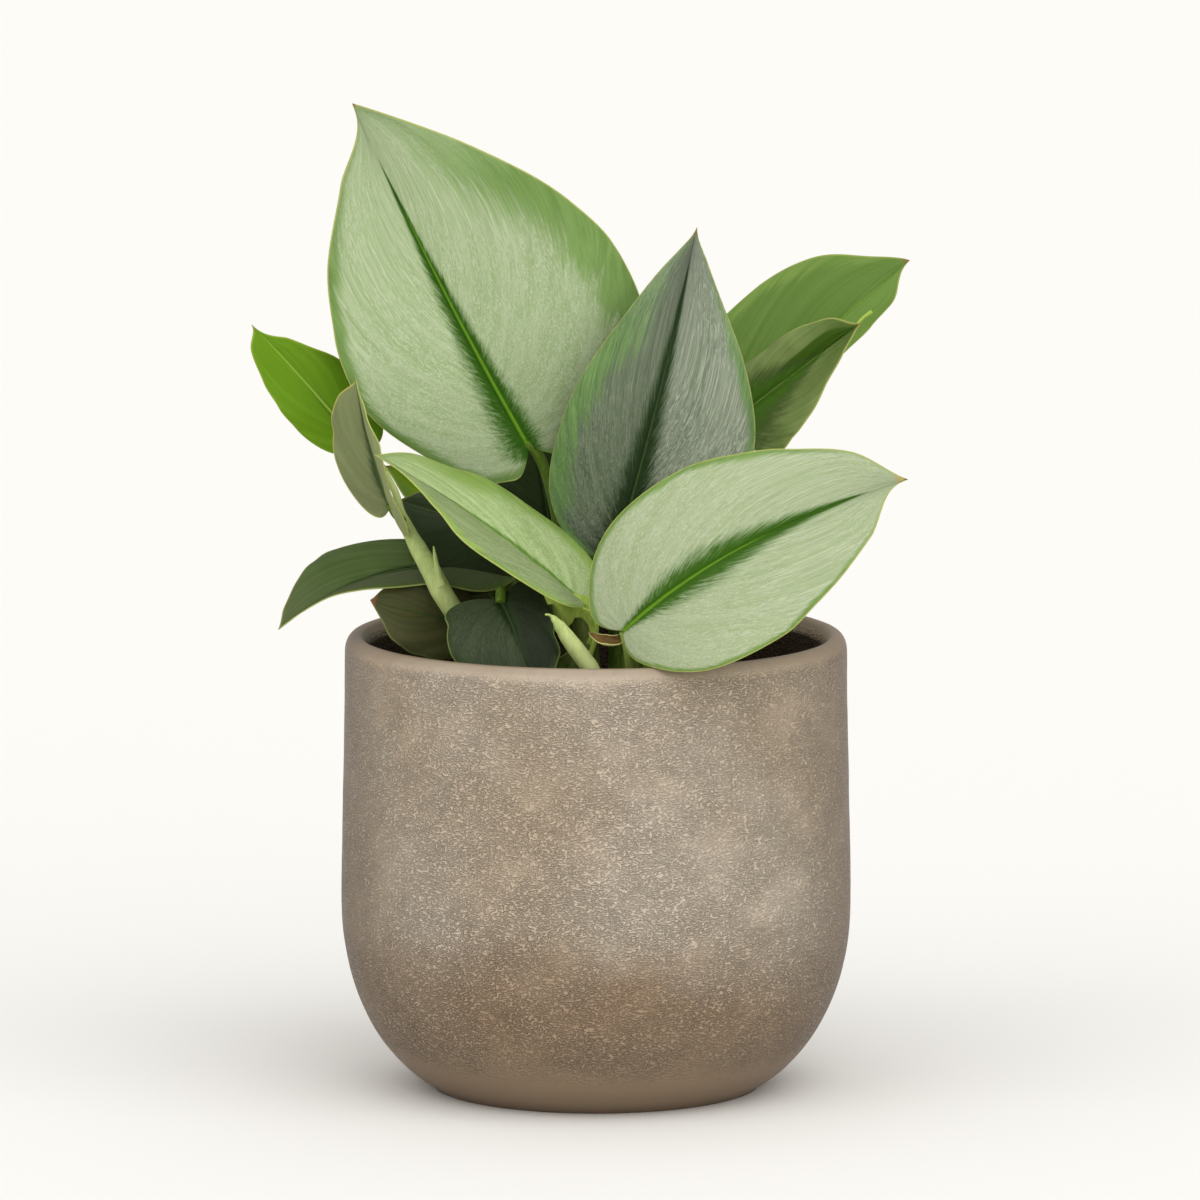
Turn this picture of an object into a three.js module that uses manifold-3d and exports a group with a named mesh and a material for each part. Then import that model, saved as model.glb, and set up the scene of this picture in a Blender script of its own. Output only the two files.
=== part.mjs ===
// Potted moonlight scindapsus: a round-bellied stoneware pot, the potting soil in it, three vine stems,
// twenty leaves on their stalks, a rolled new shoot and a dry sheath.
// Millimetres, +Z up, the front towards -Y. The origin is the centre of the pot's underside.

import * as THREE from 'three';
import { mergeVertices } from 'three/addons/utils/BufferGeometryUtils.js';
import Module from 'manifold-3d';

const wasm = await Module();
wasm.setup();

// Gap between pieces that touch on the real plant.
const GAP = 0.3;

// Pot: the rim is 150 mm across, the belly a little more. footPull, bellyPull and rimPull shape the two
// curves of the wall, below and above the belly, and innerRoundness how the hollow narrows to its floor.
const POT = {
  height: 136.5,
  rimRadius: 75,
  bellyRadius: 76.2,
  bellyHeight: 56,
  footRadius: 48.8,
  footBevel: 1.2,
  footPull: [64, 9],
  bellyPull: 80,
  rimPull: 105,
  innerRoundness: 2.4,
  wall: 6.7,
  lipRise: 5,
  floor: 10,
  sides: 40,
  steps: { lower: 8, upper: 4, lip: 6 },
};

// Heights between the floor and the soil line at which the inner wall and the soil have a ring.
const WALL_HEIGHTS = [18, 28, 40, POT.bellyHeight, 90];

// Soil: fills the pot to about 24 mm below the rim and is a little higher in the middle.
const SOIL = {
  edgeHeight: 110.5,
  crownRise: 2.5,
  bump: 0.8,
  bumpsAcross: 0.31,
  bumpsAlong: 0.27,
  bumpSkew: 0.11,
  rings: 5,
};

// Leaf blades are thin shells on a grid of rows, from the notch at the stalk to the tip.
const BLADE = {
  thickness: 0.9,
  rows: 11,
  columns: 3,
  backShare: 0.4,
  veinSweep: 2.15,
};

// Stems and leaf stalks are bent round bars.
const STEM = {
  sides: 7,
  segments: 8,
};

const COLOURS = {
  stoneware: 0x8c7a67,
  soil: 0x2c221b,
  vine: 0x9fae5c,
  silver: 0xa5b997,
  slate: 0x6f8571,
  bright: 0x6f9a3c,
  deep: 0x3f5a2e,
  dry: 0xa98f4e,
};

// Vine stems: the way of each from its root in the soil to its top, and the radius at both ends.
const VINES = {
  vine_left: {
    path: [
      [-28, -14, 100], [-29, -15, 114], [-34, -21, 134], [-43, -25, 148],
      [-51, -24, 160], [-56, -19, 172], [-60, -12, 183],
    ],
    radii: [2.7, 1.9],
  },
  vine_centre: {
    path: [[-2, 12, 100], [-3, 12, 114], [-4, 12, 133], [-8, 12, 148], [-10, 10, 159]],
    radii: [2.7, 2.2],
  },
  vine_back: {
    path: [[0, 38, 100], [-2, 38, 130], [-4, 38, 150], [-6, 36, 166]],
    radii: [2.8, 2.2],
  },
};

// Leaves. base, middle and tip are points of the midrib; halfWidths, rise, curl, widest, taper and lobe
// hold the value left and right of it, seen from above with the tip ahead. facing is where the upper
// surface looks, rise how steeply each half leaves the midrib, curl how far it then bends down, both in
// degrees. widest is the share of the length where the half is broadest, taper how drawn out the tip is,
// and lobe how far the half reaches back past the stalk. stalk is the way from the root to the base, and
// vine names the stem that the stalk grows from; without one it stands in the soil. A strand is a second
// way up beside the stalk.
const LEAVES = {
  leaf_tall_left: {
    base: [-20, 3, 192],
    middle: [-46, -2, 241],
    tip: [-72, -10, 296],
    halfWidths: [40, 52],
    facing: [0.05, -1, 0.3],
    rise: [8, 8],
    curl: [22, 22],
    widest: [0.32, 0.34],
    taper: [1.05, 0.95],
    vine: 'vine_centre',
    stalk: [[-10, 10, 158], [-12, 8, 172], [-15, 7, 184], [-18, 5, 190.5], [-21, 3.6, 193]],
    radii: [1.9, 1.6],
    colour: 'silver',
  },
  leaf_tall_centre: {
    base: [5, 4, 157],
    middle: [18, -6, 206],
    tip: [30, 2, 258],
    halfWidths: [26, 33],
    facing: [0.05, -1, 0.25],
    rise: [8, 8],
    curl: [22, 22],
    widest: [0.33, 0.33],
    taper: [1.15, 1.15],
    stalk: [[7, 5, 103], [9, 7, 130], [8, 8, 145], [6, 6.5, 154], [5.6, 4.2, 158.5]],
    radii: [2, 1.7],
    colour: 'slate',
  },
  leaf_rear_right: {
    base: [31, 42, 189],
    middle: [64, 38, 218],
    tip: [94, 30, 245],
    halfWidths: [26, 12],
    facing: [-0.1, -1, 0.55],
    rise: [10, 10],
    curl: [20, 20],
    widest: [0.5, 0.5],
    taper: [0.9, 0.7],
    stalk: [[9, 24, 103], [12, 30, 128], [18, 37, 152], [27, 42.5, 181], [32, 42.4, 190]],
    radii: [2, 1.7],
    colour: 'bright',
  },
  leaf_rolled_right: {
    base: [38, 22, 195],
    middle: [58, 20, 211],
    tip: [79, 13, 228],
    halfWidths: [14, 18],
    facing: [0.2, -1, 0.5],
    rise: [50, 25],
    curl: [115, 10],
    widest: [0.45, 0.32],
    taper: [0.8, 1.1],
    stalk: [[13, 12, 103], [16, 17, 132], [23, 22, 161], [34, 23.5, 190], [39, 22.6, 196]],
    radii: [2, 1.7],
    colour: 'bright',
  },
  leaf_front_right: {
    base: [8, -64, 146.5],
    middle: [44, -71, 173],
    tip: [91, -63, 191],
    halfWidths: [30, 29],
    facing: [0.05, -1, 0.6],
    rise: [6, 6],
    curl: [18, 18],
    widest: [0.4, 0.44],
    taper: [0.95, 0.95],
    lobe: [0.1, 0.07],
    stalk: [[11, -46, 103], [11, -52, 126], [10, -60, 139], [8.6, -63, 146]],
    radii: [2, 1.8],
    colour: 'silver',
  },
  leaf_front_centre: {
    base: [-6, -38, 153],
    middle: [-34, -42, 176],
    tip: [-65, -44, 196],
    halfWidths: [20, 31],
    facing: [0.5, -0.33, 0.8],
    rise: [12, 6],
    curl: [18, 18],
    widest: [0.4, 0.33],
    taper: [1, 1],
    stalk: [[1, -38, 103], [-3, -40, 128], [-8, -40, 142], [-8, -38.5, 150], [-7, -38, 154]],
    radii: [2, 2.6],
    strand: [[-4, -38, 130], [-1, -39, 139], [0, -39.5, 146], [-5, -38.5, 153]],
    strandRadii: [1.2, 1.6],
    colour: 'silver',
  },
  leaf_bright_left: {
    base: [-70, 6, 191],
    middle: [-84, 0, 209],
    tip: [-102, -8, 230],
    halfWidths: [12, 14],
    facing: [-0.2, -1, 0.5],
    rise: [10, 10],
    curl: [15, 15],
    widest: [0.4, 0.4],
    taper: [1, 1],
    vine: 'vine_left',
    stalk: [[-60, -12, 182], [-64, -4, 187.5], [-68, 4, 189], [-71, 6, 192]],
    radii: [1.5, 1.3],
    colour: 'bright',
  },
  leaf_folded_left: {
    base: [-61, -21, 177],
    middle: [-67, -23, 197],
    tip: [-71, -23, 216],
    halfWidths: [13, 7],
    facing: [-0.45, -0.8, 0.1],
    rise: [15, 45],
    curl: [20, 20],
    widest: [0.45, 0.45],
    taper: [1, 1],
    lobe: [0.1, 0.22],
    vine: 'vine_left',
    stalk: [[-56, -19, 172], [-59, -19.8, 174.5], [-61.2, -21, 178.2]],
    radii: [1.3, 1.2],
    colour: 'slate',
  },
  leaf_low_left: {
    base: [-32, -8, 157],
    middle: [-66, -14, 155.5],
    tip: [-94, -24, 141],
    halfWidths: [12, 15],
    facing: [-0.25, -0.55, 0.8],
    rise: [16, 16],
    curl: [20, 20],
    widest: [0.25, 0.55],
    taper: [1.4, 0.95],
    stalk: [[-24, 0, 103], [-24, 0, 134], [-27, -2, 150], [-31, -6, 156], [-33.5, -8.2, 157.2]],
    radii: [1.8, 1.5],
    colour: 'deep',
  },
  leaf_rim_left: {
    base: [-35, -12, 138],
    middle: [-51, -19, 145],
    tip: [-67, -18, 149],
    halfWidths: [14, 10],
    facing: [-0.2, -1, 0.5],
    rise: [10, 10],
    curl: [15, 15],
    widest: [0.4, 0.4],
    taper: [1, 1],
    stalk: [[-30, -3, 103], [-31, -5, 124], [-33, -9, 134], [-36, -12.2, 138.6]],
    radii: [1.6, 1.4],
    colour: 'deep',
  },
  leaf_rim_centre: {
    base: [-28, -42, 152],
    middle: [-23, -50, 142],
    tip: [-16, -56, 123],
    halfWidths: [15, 21],
    facing: [0, -1, 0.6],
    rise: [6, 6],
    curl: [25, 25],
    widest: [0.42, 0.42],
    taper: [1, 1],
    stalk: [[-24, -33, 103], [-25, -36, 131], [-26, -37, 144], [-27.6, -39.6, 151], [-28, -43, 151.6]],
    radii: [1.8, 1.5],
    colour: 'slate',
  },
  leaf_inner_left: {
    base: [-35, -4, 171],
    middle: [-46, -4, 173],
    tip: [-59, -4, 177],
    halfWidths: [13, 10],
    facing: [0, -1, 0.5],
    rise: [10, 10],
    curl: [20, 20],
    widest: [0.4, 0.4],
    taper: [1, 1],
    stalk: [[-22, 9, 103], [-23, 9, 139], [-27, 4, 161], [-33, -2, 169.5], [-36.4, -4.2, 171.4]],
    radii: [1.8, 1.4],
    colour: 'deep',
  },
  leaf_inner_bright: {
    base: [-41, 14, 175],
    middle: [-51, 14, 179],
    tip: [-63, 14, 185],
    halfWidths: [8, 8],
    facing: [0, -1, 0.5],
    rise: [10, 10],
    curl: [20, 20],
    widest: [0.4, 0.4],
    taper: [1, 1],
    stalk: [[-18, 20, 103], [-20, 20, 137], [-27, 20, 161], [-37, 16, 173], [-42, 14, 176]],
    radii: [1.8, 1.3],
    colour: 'bright',
  },
  leaf_inner_front: {
    base: [-12, -42, 121],
    middle: [-10, -46, 129],
    tip: [-6, -46, 139],
    halfWidths: [7, 7],
    facing: [0.3, -1, 0.3],
    rise: [10, 10],
    curl: [20, 20],
    widest: [0.4, 0.4],
    taper: [1, 1],
    stalk: [[-14, -38, 103], [-13.4, -39.5, 114], [-11.8, -42.2, 122]],
    radii: [1.4, 1.3],
    colour: 'deep',
  },
  leaf_side_left: {
    base: [-36, 26, 150],
    middle: [-46, 37, 153],
    tip: [-60, 49, 147],
    halfWidths: [11, 11],
    facing: [-0.4, 0.3, 1],
    rise: [10, 10],
    curl: [20, 20],
    widest: [0.38, 0.38],
    taper: [1, 1],
    stalk: [[-24, 28, 103], [-25, 27, 128], [-29, 25, 144], [-34, 25, 149.6], [-37, 27, 150.2]],
    radii: [1.7, 1.4],
    colour: 'deep',
  },
  leaf_side_right: {
    base: [33, 24, 152],
    middle: [49, 36, 160],
    tip: [65, 52, 158],
    halfWidths: [15, 15],
    facing: [0.4, 0.2, 1],
    rise: [10, 10],
    curl: [20, 20],
    widest: [0.38, 0.38],
    taper: [1, 1],
    stalk: [[27, 18, 103], [27, 18, 130], [28.4, 19.6, 145], [31.6, 22.6, 151], [34, 25, 152.6]],
    radii: [1.7, 1.4],
    colour: 'silver',
  },
  leaf_back_left: {
    base: [-20, 44, 166],
    middle: [-28, 72, 166],
    tip: [-38, 98, 148],
    halfWidths: [19, 19],
    facing: [-0.3, 0.6, 1],
    rise: [8, 8],
    curl: [25, 25],
    widest: [0.38, 0.38],
    taper: [1, 1],
    vine: 'vine_back',
    stalk: [[-4.6, 37.4, 157], [-10, 38, 160], [-17, 41.5, 164], [-20.4, 45.4, 166]],
    radii: [1.8, 1.5],
    colour: 'silver',
  },
  leaf_back_centre: {
    base: [2, 50, 158],
    middle: [6, 78, 155],
    tip: [9, 100, 132],
    halfWidths: [21, 21],
    facing: [0.1, 0.7, 1],
    rise: [8, 8],
    curl: [25, 25],
    widest: [0.38, 0.38],
    taper: [1, 1],
    stalk: [[5, 45, 103], [5.5, 47, 125], [4.5, 47.5, 147], [2, 49, 156.6], [2.2, 51.6, 158]],
    radii: [1.9, 1.6],
    colour: 'silver',
  },
  leaf_back_right: {
    base: [17, 50, 166],
    middle: [28, 73, 168],
    tip: [38, 95, 155],
    halfWidths: [17, 17],
    facing: [0.3, 0.5, 1],
    rise: [8, 8],
    curl: [25, 25],
    widest: [0.38, 0.38],
    taper: [1, 1],
    stalk: [[19, 42, 103], [19, 46, 130], [18.8, 47.6, 155], [18.4, 48.6, 164], [18, 51.6, 166]],
    radii: [1.8, 1.5],
    colour: 'bright',
  },
  leaf_back_upright: {
    base: [-14, 29.5, 163],
    middle: [-19, 33.5, 190],
    tip: [-30, 46.5, 222],
    halfWidths: [25, 25],
    facing: [0.1, -1, 0.3],
    rise: [8, 8],
    curl: [25, 25],
    widest: [0.38, 0.38],
    taper: [1, 1],
    vine: 'vine_back',
    stalk: [[-4.2, 36.6, 144], [-7, 33.6, 151], [-11.4, 30.6, 159], [-14.4, 30.2, 165]],
    radii: [1.8, 1.5],
    colour: 'deep',
  },
};

// New shoot: a young leaf still rolled into a spear, thickest at mid-height.
const SHOOT = {
  path: [
    [8, -55, 103], [6, -56, 120], [1, -56, 133],
    [-5, -56.5, 140], [-10.6, -57, 147.4], [-13, -57, 151],
  ],
  radii: [2.2, 0.4],
  swell: 1.1,
};

// Dry sheath: a papery half-rolled husk that clasps the front right leaf's stalk.
const SHEATH = {
  base: [9.2, -61, 142.2],
  middle: [4, -59.8, 141.4],
  tip: [-1.8, -58, 143.6],
  halfWidths: [2.8, 2.8],
  facing: [0, -0.35, 1],
  rise: [35, 35],
  curl: [-50, -50],
  widest: [0.45, 0.45],
  taper: [0.8, 0.8],
  lobe: [0.02, 0.02],
};

const radians = THREE.MathUtils.degToRad;
const lerp = THREE.MathUtils.lerp;
const vector = (point) => new THREE.Vector3(...point);

function toSolid(geometry) {
  geometry.deleteAttribute('normal');
  geometry.deleteAttribute('uv');
  const merged = mergeVertices(geometry, 1e-4);
  const mesh = new wasm.Mesh({
    numProp: 3,
    vertProperties: new Float32Array(merged.attributes.position.array),
    triVerts: new Uint32Array(merged.index.array),
  });
  return new wasm.Manifold(mesh);
}

function toGeometry(solid) {
  const { vertProperties, triVerts } = solid.getMesh();
  const geometry = new THREE.BufferGeometry();
  geometry.setAttribute('position', new THREE.BufferAttribute(new Float32Array(vertProperties), 3));
  geometry.setIndex([...triVerts]);
  geometry.computeVertexNormals();
  return geometry;
}

// The pot's outer line from the foot up, then over the rounded lip to the inside.
function potOuterLine() {
  const foot = new THREE.Vector2(POT.footRadius + POT.footBevel, POT.footBevel);
  const belly = new THREE.Vector2(POT.bellyRadius, POT.bellyHeight);
  const lipStart = new THREE.Vector2(POT.rimRadius, POT.height - POT.lipRise);
  const lower = new THREE.CubicBezierCurve(
    foot,
    new THREE.Vector2(...POT.footPull),
    new THREE.Vector2(POT.bellyRadius, POT.bellyHeight / 2),
    belly,
  );
  const upper = new THREE.CubicBezierCurve(
    belly,
    new THREE.Vector2(POT.bellyRadius, POT.bellyPull),
    new THREE.Vector2(POT.rimRadius, POT.rimPull),
    lipStart,
  );
  const lipCentre = POT.rimRadius - POT.wall / 2;
  const lip = new THREE.EllipseCurve(lipCentre, lipStart.y, POT.wall / 2, POT.lipRise, 0, Math.PI);
  return [
    ...lower.getPoints(POT.steps.lower),
    ...upper.getPoints(POT.steps.upper).slice(1),
    ...lip.getPoints(POT.steps.lip).slice(1),
  ];
}

// The inner wall's radius at a height, one wall thickness inside the outer line.
function innerRadius(height) {
  const rim = POT.rimRadius - POT.wall;
  const belly = POT.bellyRadius - POT.wall;
  if (height > POT.bellyHeight) {
    return lerp(belly, rim, (height - POT.bellyHeight) / (POT.height - POT.lipRise - POT.bellyHeight));
  }
  const drop = (POT.bellyHeight - height) / (POT.bellyHeight - POT.floor);
  return belly - (belly - POT.footRadius) * drop ** POT.innerRoundness;
}

function potGeometry() {
  const inner = [SOIL.edgeHeight, ...WALL_HEIGHTS.toReversed(), POT.floor].map(
    (height) => new THREE.Vector2(innerRadius(height), height),
  );
  const profile = [
    new THREE.Vector2(0, 0),
    new THREE.Vector2(POT.footRadius, 0),
    ...potOuterLine(),
    ...inner,
    new THREE.Vector2(0, POT.floor),
  ];
  return toGeometry(toSolid(new THREE.LatheGeometry(profile, POT.sides)));
}

// The soil follows the inner wall and ends in an uneven, slightly raised surface.
function soilSolid() {
  const wall = [POT.floor + GAP, ...WALL_HEIGHTS, SOIL.edgeHeight].map(
    (height) => new THREE.Vector2(innerRadius(height) - 2 * GAP, height),
  );
  const edge = wall.at(-1).x;
  const surface = [];
  for (let ring = 1; ring < SOIL.rings; ring += 1) {
    const inward = ring / SOIL.rings;
    surface.push(new THREE.Vector2(edge * (1 - inward), SOIL.edgeHeight + SOIL.crownRise * inward));
  }
  const profile = [
    new THREE.Vector2(0, POT.floor + GAP),
    ...wall,
    ...surface,
    new THREE.Vector2(0, SOIL.edgeHeight + SOIL.crownRise),
  ];
  const geometry = new THREE.LatheGeometry(profile, POT.sides);
  const position = geometry.attributes.position;
  for (let i = 0; i < position.count; i += 1) {
    const [x, y, z] = [position.getX(i), position.getY(i), position.getZ(i)];
    if (y > SOIL.edgeHeight) {
      const wave = Math.sin(x * SOIL.bumpsAcross) * Math.cos(z * SOIL.bumpsAlong + x * SOIL.bumpSkew);
      position.setY(i, y + SOIL.bump * wave);
    }
  }
  return toSolid(geometry);
}

// A round bar along a smooth path. grow makes it that much longer at both ends and thicker all round.
function barSolid(points, radii, grow = 0, swell = 0) {
  const path = points.map(vector);
  if (grow > 0) {
    path[0].add(path[0].clone().sub(path[1]).setLength(grow));
    path.at(-1).add(path.at(-1).clone().sub(path.at(-2)).setLength(grow));
  }
  const curve = new THREE.CatmullRomCurve3(path);
  const frames = curve.computeFrenetFrames(STEM.segments);
  const bar = new THREE.CylinderGeometry(1, 1, 1, STEM.sides, STEM.segments);
  const position = bar.attributes.position;
  for (let i = 0; i < position.count; i += 1) {
    const share = position.getY(i) + 0.5;
    const step = Math.round(share * STEM.segments);
    const radius = lerp(radii[0], radii[1], share) + grow + swell * Math.sin(Math.PI * share);
    const point = curve.getPointAt(share);
    point.addScaledVector(frames.normals[step], position.getX(i) * radius);
    point.addScaledVector(frames.binormals[step], -position.getZ(i) * radius);
    position.setXYZ(i, point.x, point.y, point.z);
  }
  return toSolid(bar);
}

// The flat outline of half a blade: how far along (in lengths) and out (in half widths) the margin is.
function outlinePoint(share, widest, taper, lobe) {
  if (share < BLADE.backShare) {
    const angle = (share / BLADE.backShare) * (Math.PI / 2);
    const notch = lobe * (1 - Math.sin(angle)) ** 3;
    return [widest - (widest + lobe) * Math.cos(angle) + notch, Math.sin(angle)];
  }
  const ahead = (share - BLADE.backShare) / (1 - BLADE.backShare);
  return [widest + (1 - widest) * ahead, Math.cos((ahead * Math.PI) / 2) ** taper];
}

// A point of the midrib and its heading. The curve passes the middle half-way and runs straight on
// behind the base, where the lobes are.
function midribAt(leaf, along) {
  const [base, middle, tip] = [leaf.base, leaf.middle, leaf.tip].map(vector);
  const pull = middle.clone().multiplyScalar(2).sub(base.clone().add(tip).multiplyScalar(0.5));
  const share = THREE.MathUtils.clamp(along, 0, 1);
  const first = pull.clone().sub(base);
  const second = tip.clone().sub(pull);
  const point = base.clone().multiplyScalar((1 - share) ** 2);
  point.addScaledVector(pull, 2 * share * (1 - share)).addScaledVector(tip, share ** 2);
  point.addScaledVector(first, 2 * Math.min(along, 0));
  const heading = first.multiplyScalar(1 - share).addScaledVector(second, share).normalize();
  return { point, heading };
}

// A point of the blade's middle surface and its normal. reach runs from -1, the left margin, to 1.
function bladePoint(leaf, share, reach) {
  const side = reach < 0 ? 0 : 1;
  const lobe = (leaf.lobe ?? [0.1, 0.1])[side];
  const [marginAlong, marginOut] = outlinePoint(share, leaf.widest[side], leaf.taper[side], lobe);
  const veinRoot = share ** BLADE.veinSweep;
  const along = veinRoot + (marginAlong - veinRoot) * Math.abs(reach);
  const { point, heading } = midribAt(leaf, along);
  const face = vector(leaf.facing);
  face.addScaledVector(heading, -face.dot(heading)).normalize();
  const out = face.clone().cross(heading).multiplyScalar(reach < 0 ? 1 : -1);
  const distance = marginOut * Math.abs(reach) * leaf.halfWidths[side];
  const rise = radians(leaf.rise[side]);
  const bend = radians(leaf.curl[side]) / leaf.halfWidths[side];
  const angle = rise - bend * distance;
  point.addScaledVector(out, (Math.sin(rise) - Math.sin(angle)) / bend);
  point.addScaledVector(face, (Math.cos(angle) - Math.cos(rise)) / bend);
  const tilt = reach === 0 ? 0 : angle;
  const normal = face.multiplyScalar(Math.cos(tilt)).addScaledVector(out, -Math.sin(tilt));
  return { point, normal };
}

// A closed thin shell over the blade's middle surface, with the same triangles on both faces.
function bladeSolid(leaf) {
  const width = 2 * BLADE.columns + 1;
  const positions = [];
  for (const face of [1, -1]) {
    const place = (share, reach) => {
      const { point, normal } = bladePoint(leaf, share, reach);
      point.addScaledVector(normal, (face * BLADE.thickness) / 2);
      positions.push(point.x, point.y, point.z);
    };
    place(0, 0);
    for (let row = 1; row < BLADE.rows; row += 1) {
      for (let column = -BLADE.columns; column <= BLADE.columns; column += 1) {
        place(row / BLADE.rows, column / BLADE.columns);
      }
    }
    place(1, 0);
  }
  const perFace = positions.length / 6;
  const at = (row, column) => {
    if (row === 0) return 0;
    return row === BLADE.rows ? perFace - 1 : 1 + (row - 1) * width + column;
  };
  const index = [];
  const addTriangle = (a, b, c) => {
    index.push(a, b, c, a + perFace, c + perFace, b + perFace);
  };
  for (let row = 0; row < BLADE.rows; row += 1) {
    for (let column = 0; column < width - 1; column += 1) {
      const [a, b] = [at(row, column), at(row, column + 1)];
      const [c, d] = [at(row + 1, column), at(row + 1, column + 1)];
      if (row > 0) addTriangle(a, b, d);
      if (row < BLADE.rows - 1) addTriangle(a, d, c);
    }
    for (const column of [0, width - 1]) {
      const [a, c] = [at(row, column), at(row + 1, column)];
      const strip = [a, c, c + perFace, a, c + perFace, a + perFace];
      index.push(...(column === 0 ? strip : strip.reverse()));
    }
  }
  const geometry = new THREE.BufferGeometry();
  geometry.setAttribute('position', new THREE.Float32BufferAttribute(positions, 3));
  geometry.setIndex(index);
  return toSolid(geometry);
}

// A leaf is its blade and stalk in one. A stalk that grows from a vine is cut to seat on it.
function leafSolid(leaf) {
  let solid = bladeSolid(leaf).add(barSolid(leaf.stalk, leaf.radii));
  if (leaf.strand) {
    solid = solid.add(barSolid(leaf.strand, leaf.strandRadii));
  }
  if (leaf.vine) {
    const { path, radii } = VINES[leaf.vine];
    solid = solid.subtract(barSolid(path, radii, GAP));
  }
  return solid;
}

// The sheath is cut to sit round the stalk that it clasps.
function sheathSolid() {
  const { stalk, radii } = LEAVES.leaf_front_right;
  return bladeSolid(SHEATH).subtract(barSolid(stalk, radii, GAP));
}

// Every stem or stalk that stands in the soil has a plain hole with a little room round it.
function soilGeometry() {
  let solid = soilSolid().rotate([90, 0, 0]);
  const rooted = [
    ...Object.values(VINES).map(({ path, radii }) => [path, radii, 0]),
    ...Object.values(LEAVES).filter(({ vine }) => !vine).map(({ stalk, radii }) => [stalk, radii, 0]),
    [SHOOT.path, SHOOT.radii, SHOOT.swell],
  ];
  for (const [path, radii, swell] of rooted) {
    solid = solid.subtract(barSolid(path, radii, GAP, swell));
  }
  return toGeometry(solid);
}

const group = new THREE.Group();

function addPiece(name, geometry, colour, roughness) {
  const material = new THREE.MeshStandardMaterial({ color: COLOURS[colour], roughness, metalness: 0 });
  const mesh = new THREE.Mesh(geometry, material);
  mesh.name = name;
  group.add(mesh);
  return mesh;
}

addPiece('pot', potGeometry(), 'stoneware', 0.8).rotation.x = Math.PI / 2;
addPiece('soil', soilGeometry(), 'soil', 0.95);
for (const [name, { path, radii }] of Object.entries(VINES)) {
  addPiece(name, toGeometry(barSolid(path, radii)), 'vine', 0.5);
}
for (const [name, leaf] of Object.entries(LEAVES)) {
  addPiece(name, toGeometry(leafSolid(leaf)), leaf.colour, 0.45);
}
addPiece('new_shoot', toGeometry(barSolid(SHOOT.path, SHOOT.radii, 0, SHOOT.swell)), 'vine', 0.45);
addPiece('dry_sheath', toGeometry(sheathSolid()), 'dry', 0.7);

export default group;
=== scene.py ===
import math
import random
from functools import partial

import bmesh
import bpy
from mathutils import Matrix, Vector, noise
from mathutils.geometry import interpolate_bezier


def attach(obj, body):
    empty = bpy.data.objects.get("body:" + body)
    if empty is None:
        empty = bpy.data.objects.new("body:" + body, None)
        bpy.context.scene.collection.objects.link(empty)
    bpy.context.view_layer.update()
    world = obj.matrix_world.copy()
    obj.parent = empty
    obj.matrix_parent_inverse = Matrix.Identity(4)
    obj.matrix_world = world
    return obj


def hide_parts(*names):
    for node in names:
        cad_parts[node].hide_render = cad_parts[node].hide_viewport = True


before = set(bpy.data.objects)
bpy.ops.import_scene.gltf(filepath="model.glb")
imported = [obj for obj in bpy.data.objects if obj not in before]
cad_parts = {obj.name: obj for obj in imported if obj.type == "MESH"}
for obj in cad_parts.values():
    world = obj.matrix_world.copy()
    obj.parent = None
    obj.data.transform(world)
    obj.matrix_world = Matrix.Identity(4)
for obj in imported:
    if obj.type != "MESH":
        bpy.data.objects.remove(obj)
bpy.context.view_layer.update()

scene = bpy.context.scene
MM = 0.001

# Camera: a long lens 3.1 m in front of the pot that looks down a little, so that the pot's sides look
# nearly upright and the far side of its lip shows over the near one.
CAMERA_AIM = Vector((0.0012, 0, 0.1464))
CAMERA_DISTANCE = 3.1
CAMERA_DOWN = math.radians(8.2)
CAMERA_LENS = 311.8

lens = bpy.data.cameras.new("camera")
lens.sensor_width = 36
lens.lens = CAMERA_LENS
camera = bpy.data.objects.new("camera", lens)
line_of_sight = Vector((0, math.cos(CAMERA_DOWN), -math.sin(CAMERA_DOWN)))
camera.location = CAMERA_AIM - CAMERA_DISTANCE * line_of_sight
camera.rotation_euler = (math.pi / 2 - CAMERA_DOWN, 0, 0)
scene.collection.objects.link(camera)
scene.camera = camera


# Floor and light: a pale studio table that runs out of sight, a large soft lamp on either side in
# front, a very broad one above, and a warm bright room whose walls at both sides are dark.
FLOOR_RADIUS = 30
FLOOR_COLOUR = (0.885, 0.882, 0.862, 1)
ROOM_LIGHT = (1, 0.97, 0.935, 1)
SIDE_LIGHT = (0.52, 0.49, 0.46, 1)
ROOM_STRENGTH = 0.62
DARK_SIDES = (0.48, 0.85)
LAMPS = {
    "right_lamp": dict(turn=38, height=42, power=1.02, spread=70),
    "left_lamp": dict(turn=-46, height=40, power=0.42, spread=45),
    "broad_lamp": dict(turn=-4, height=52, power=1.08, spread=140),
}


def feed(tree, socket, value):
    """Gives a node's socket a value, or links another node's output to it."""
    if isinstance(value, bpy.types.NodeSocket):
        tree.links.new(value, socket)
    else:
        socket.default_value = value


def add_node(tree, kind, inputs, **settings):
    node = tree.nodes.new("ShaderNode" + kind)
    for name, value in settings.items():
        setattr(node, name, value)
    for name, value in inputs.items():
        feed(tree, node.inputs[name], value)
    return node


def calc(tree, operation, *values):
    """The output of a Math node."""
    return add_node(tree, "Math", dict(enumerate(values)), operation=operation).outputs[0]


def ease(tree, value, low, high):
    """0 below low, 1 above high, and smooth between them."""
    return add_node(tree, "MapRange", {"Value": value, "From Min": low, "From Max": high},
                    interpolation_type="SMOOTHSTEP").outputs["Result"]


def blend(tree, share, first, second):
    return add_node(tree, "Mix", {0: share, 6: first, 7: second}, data_type="RGBA").outputs[2]


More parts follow.
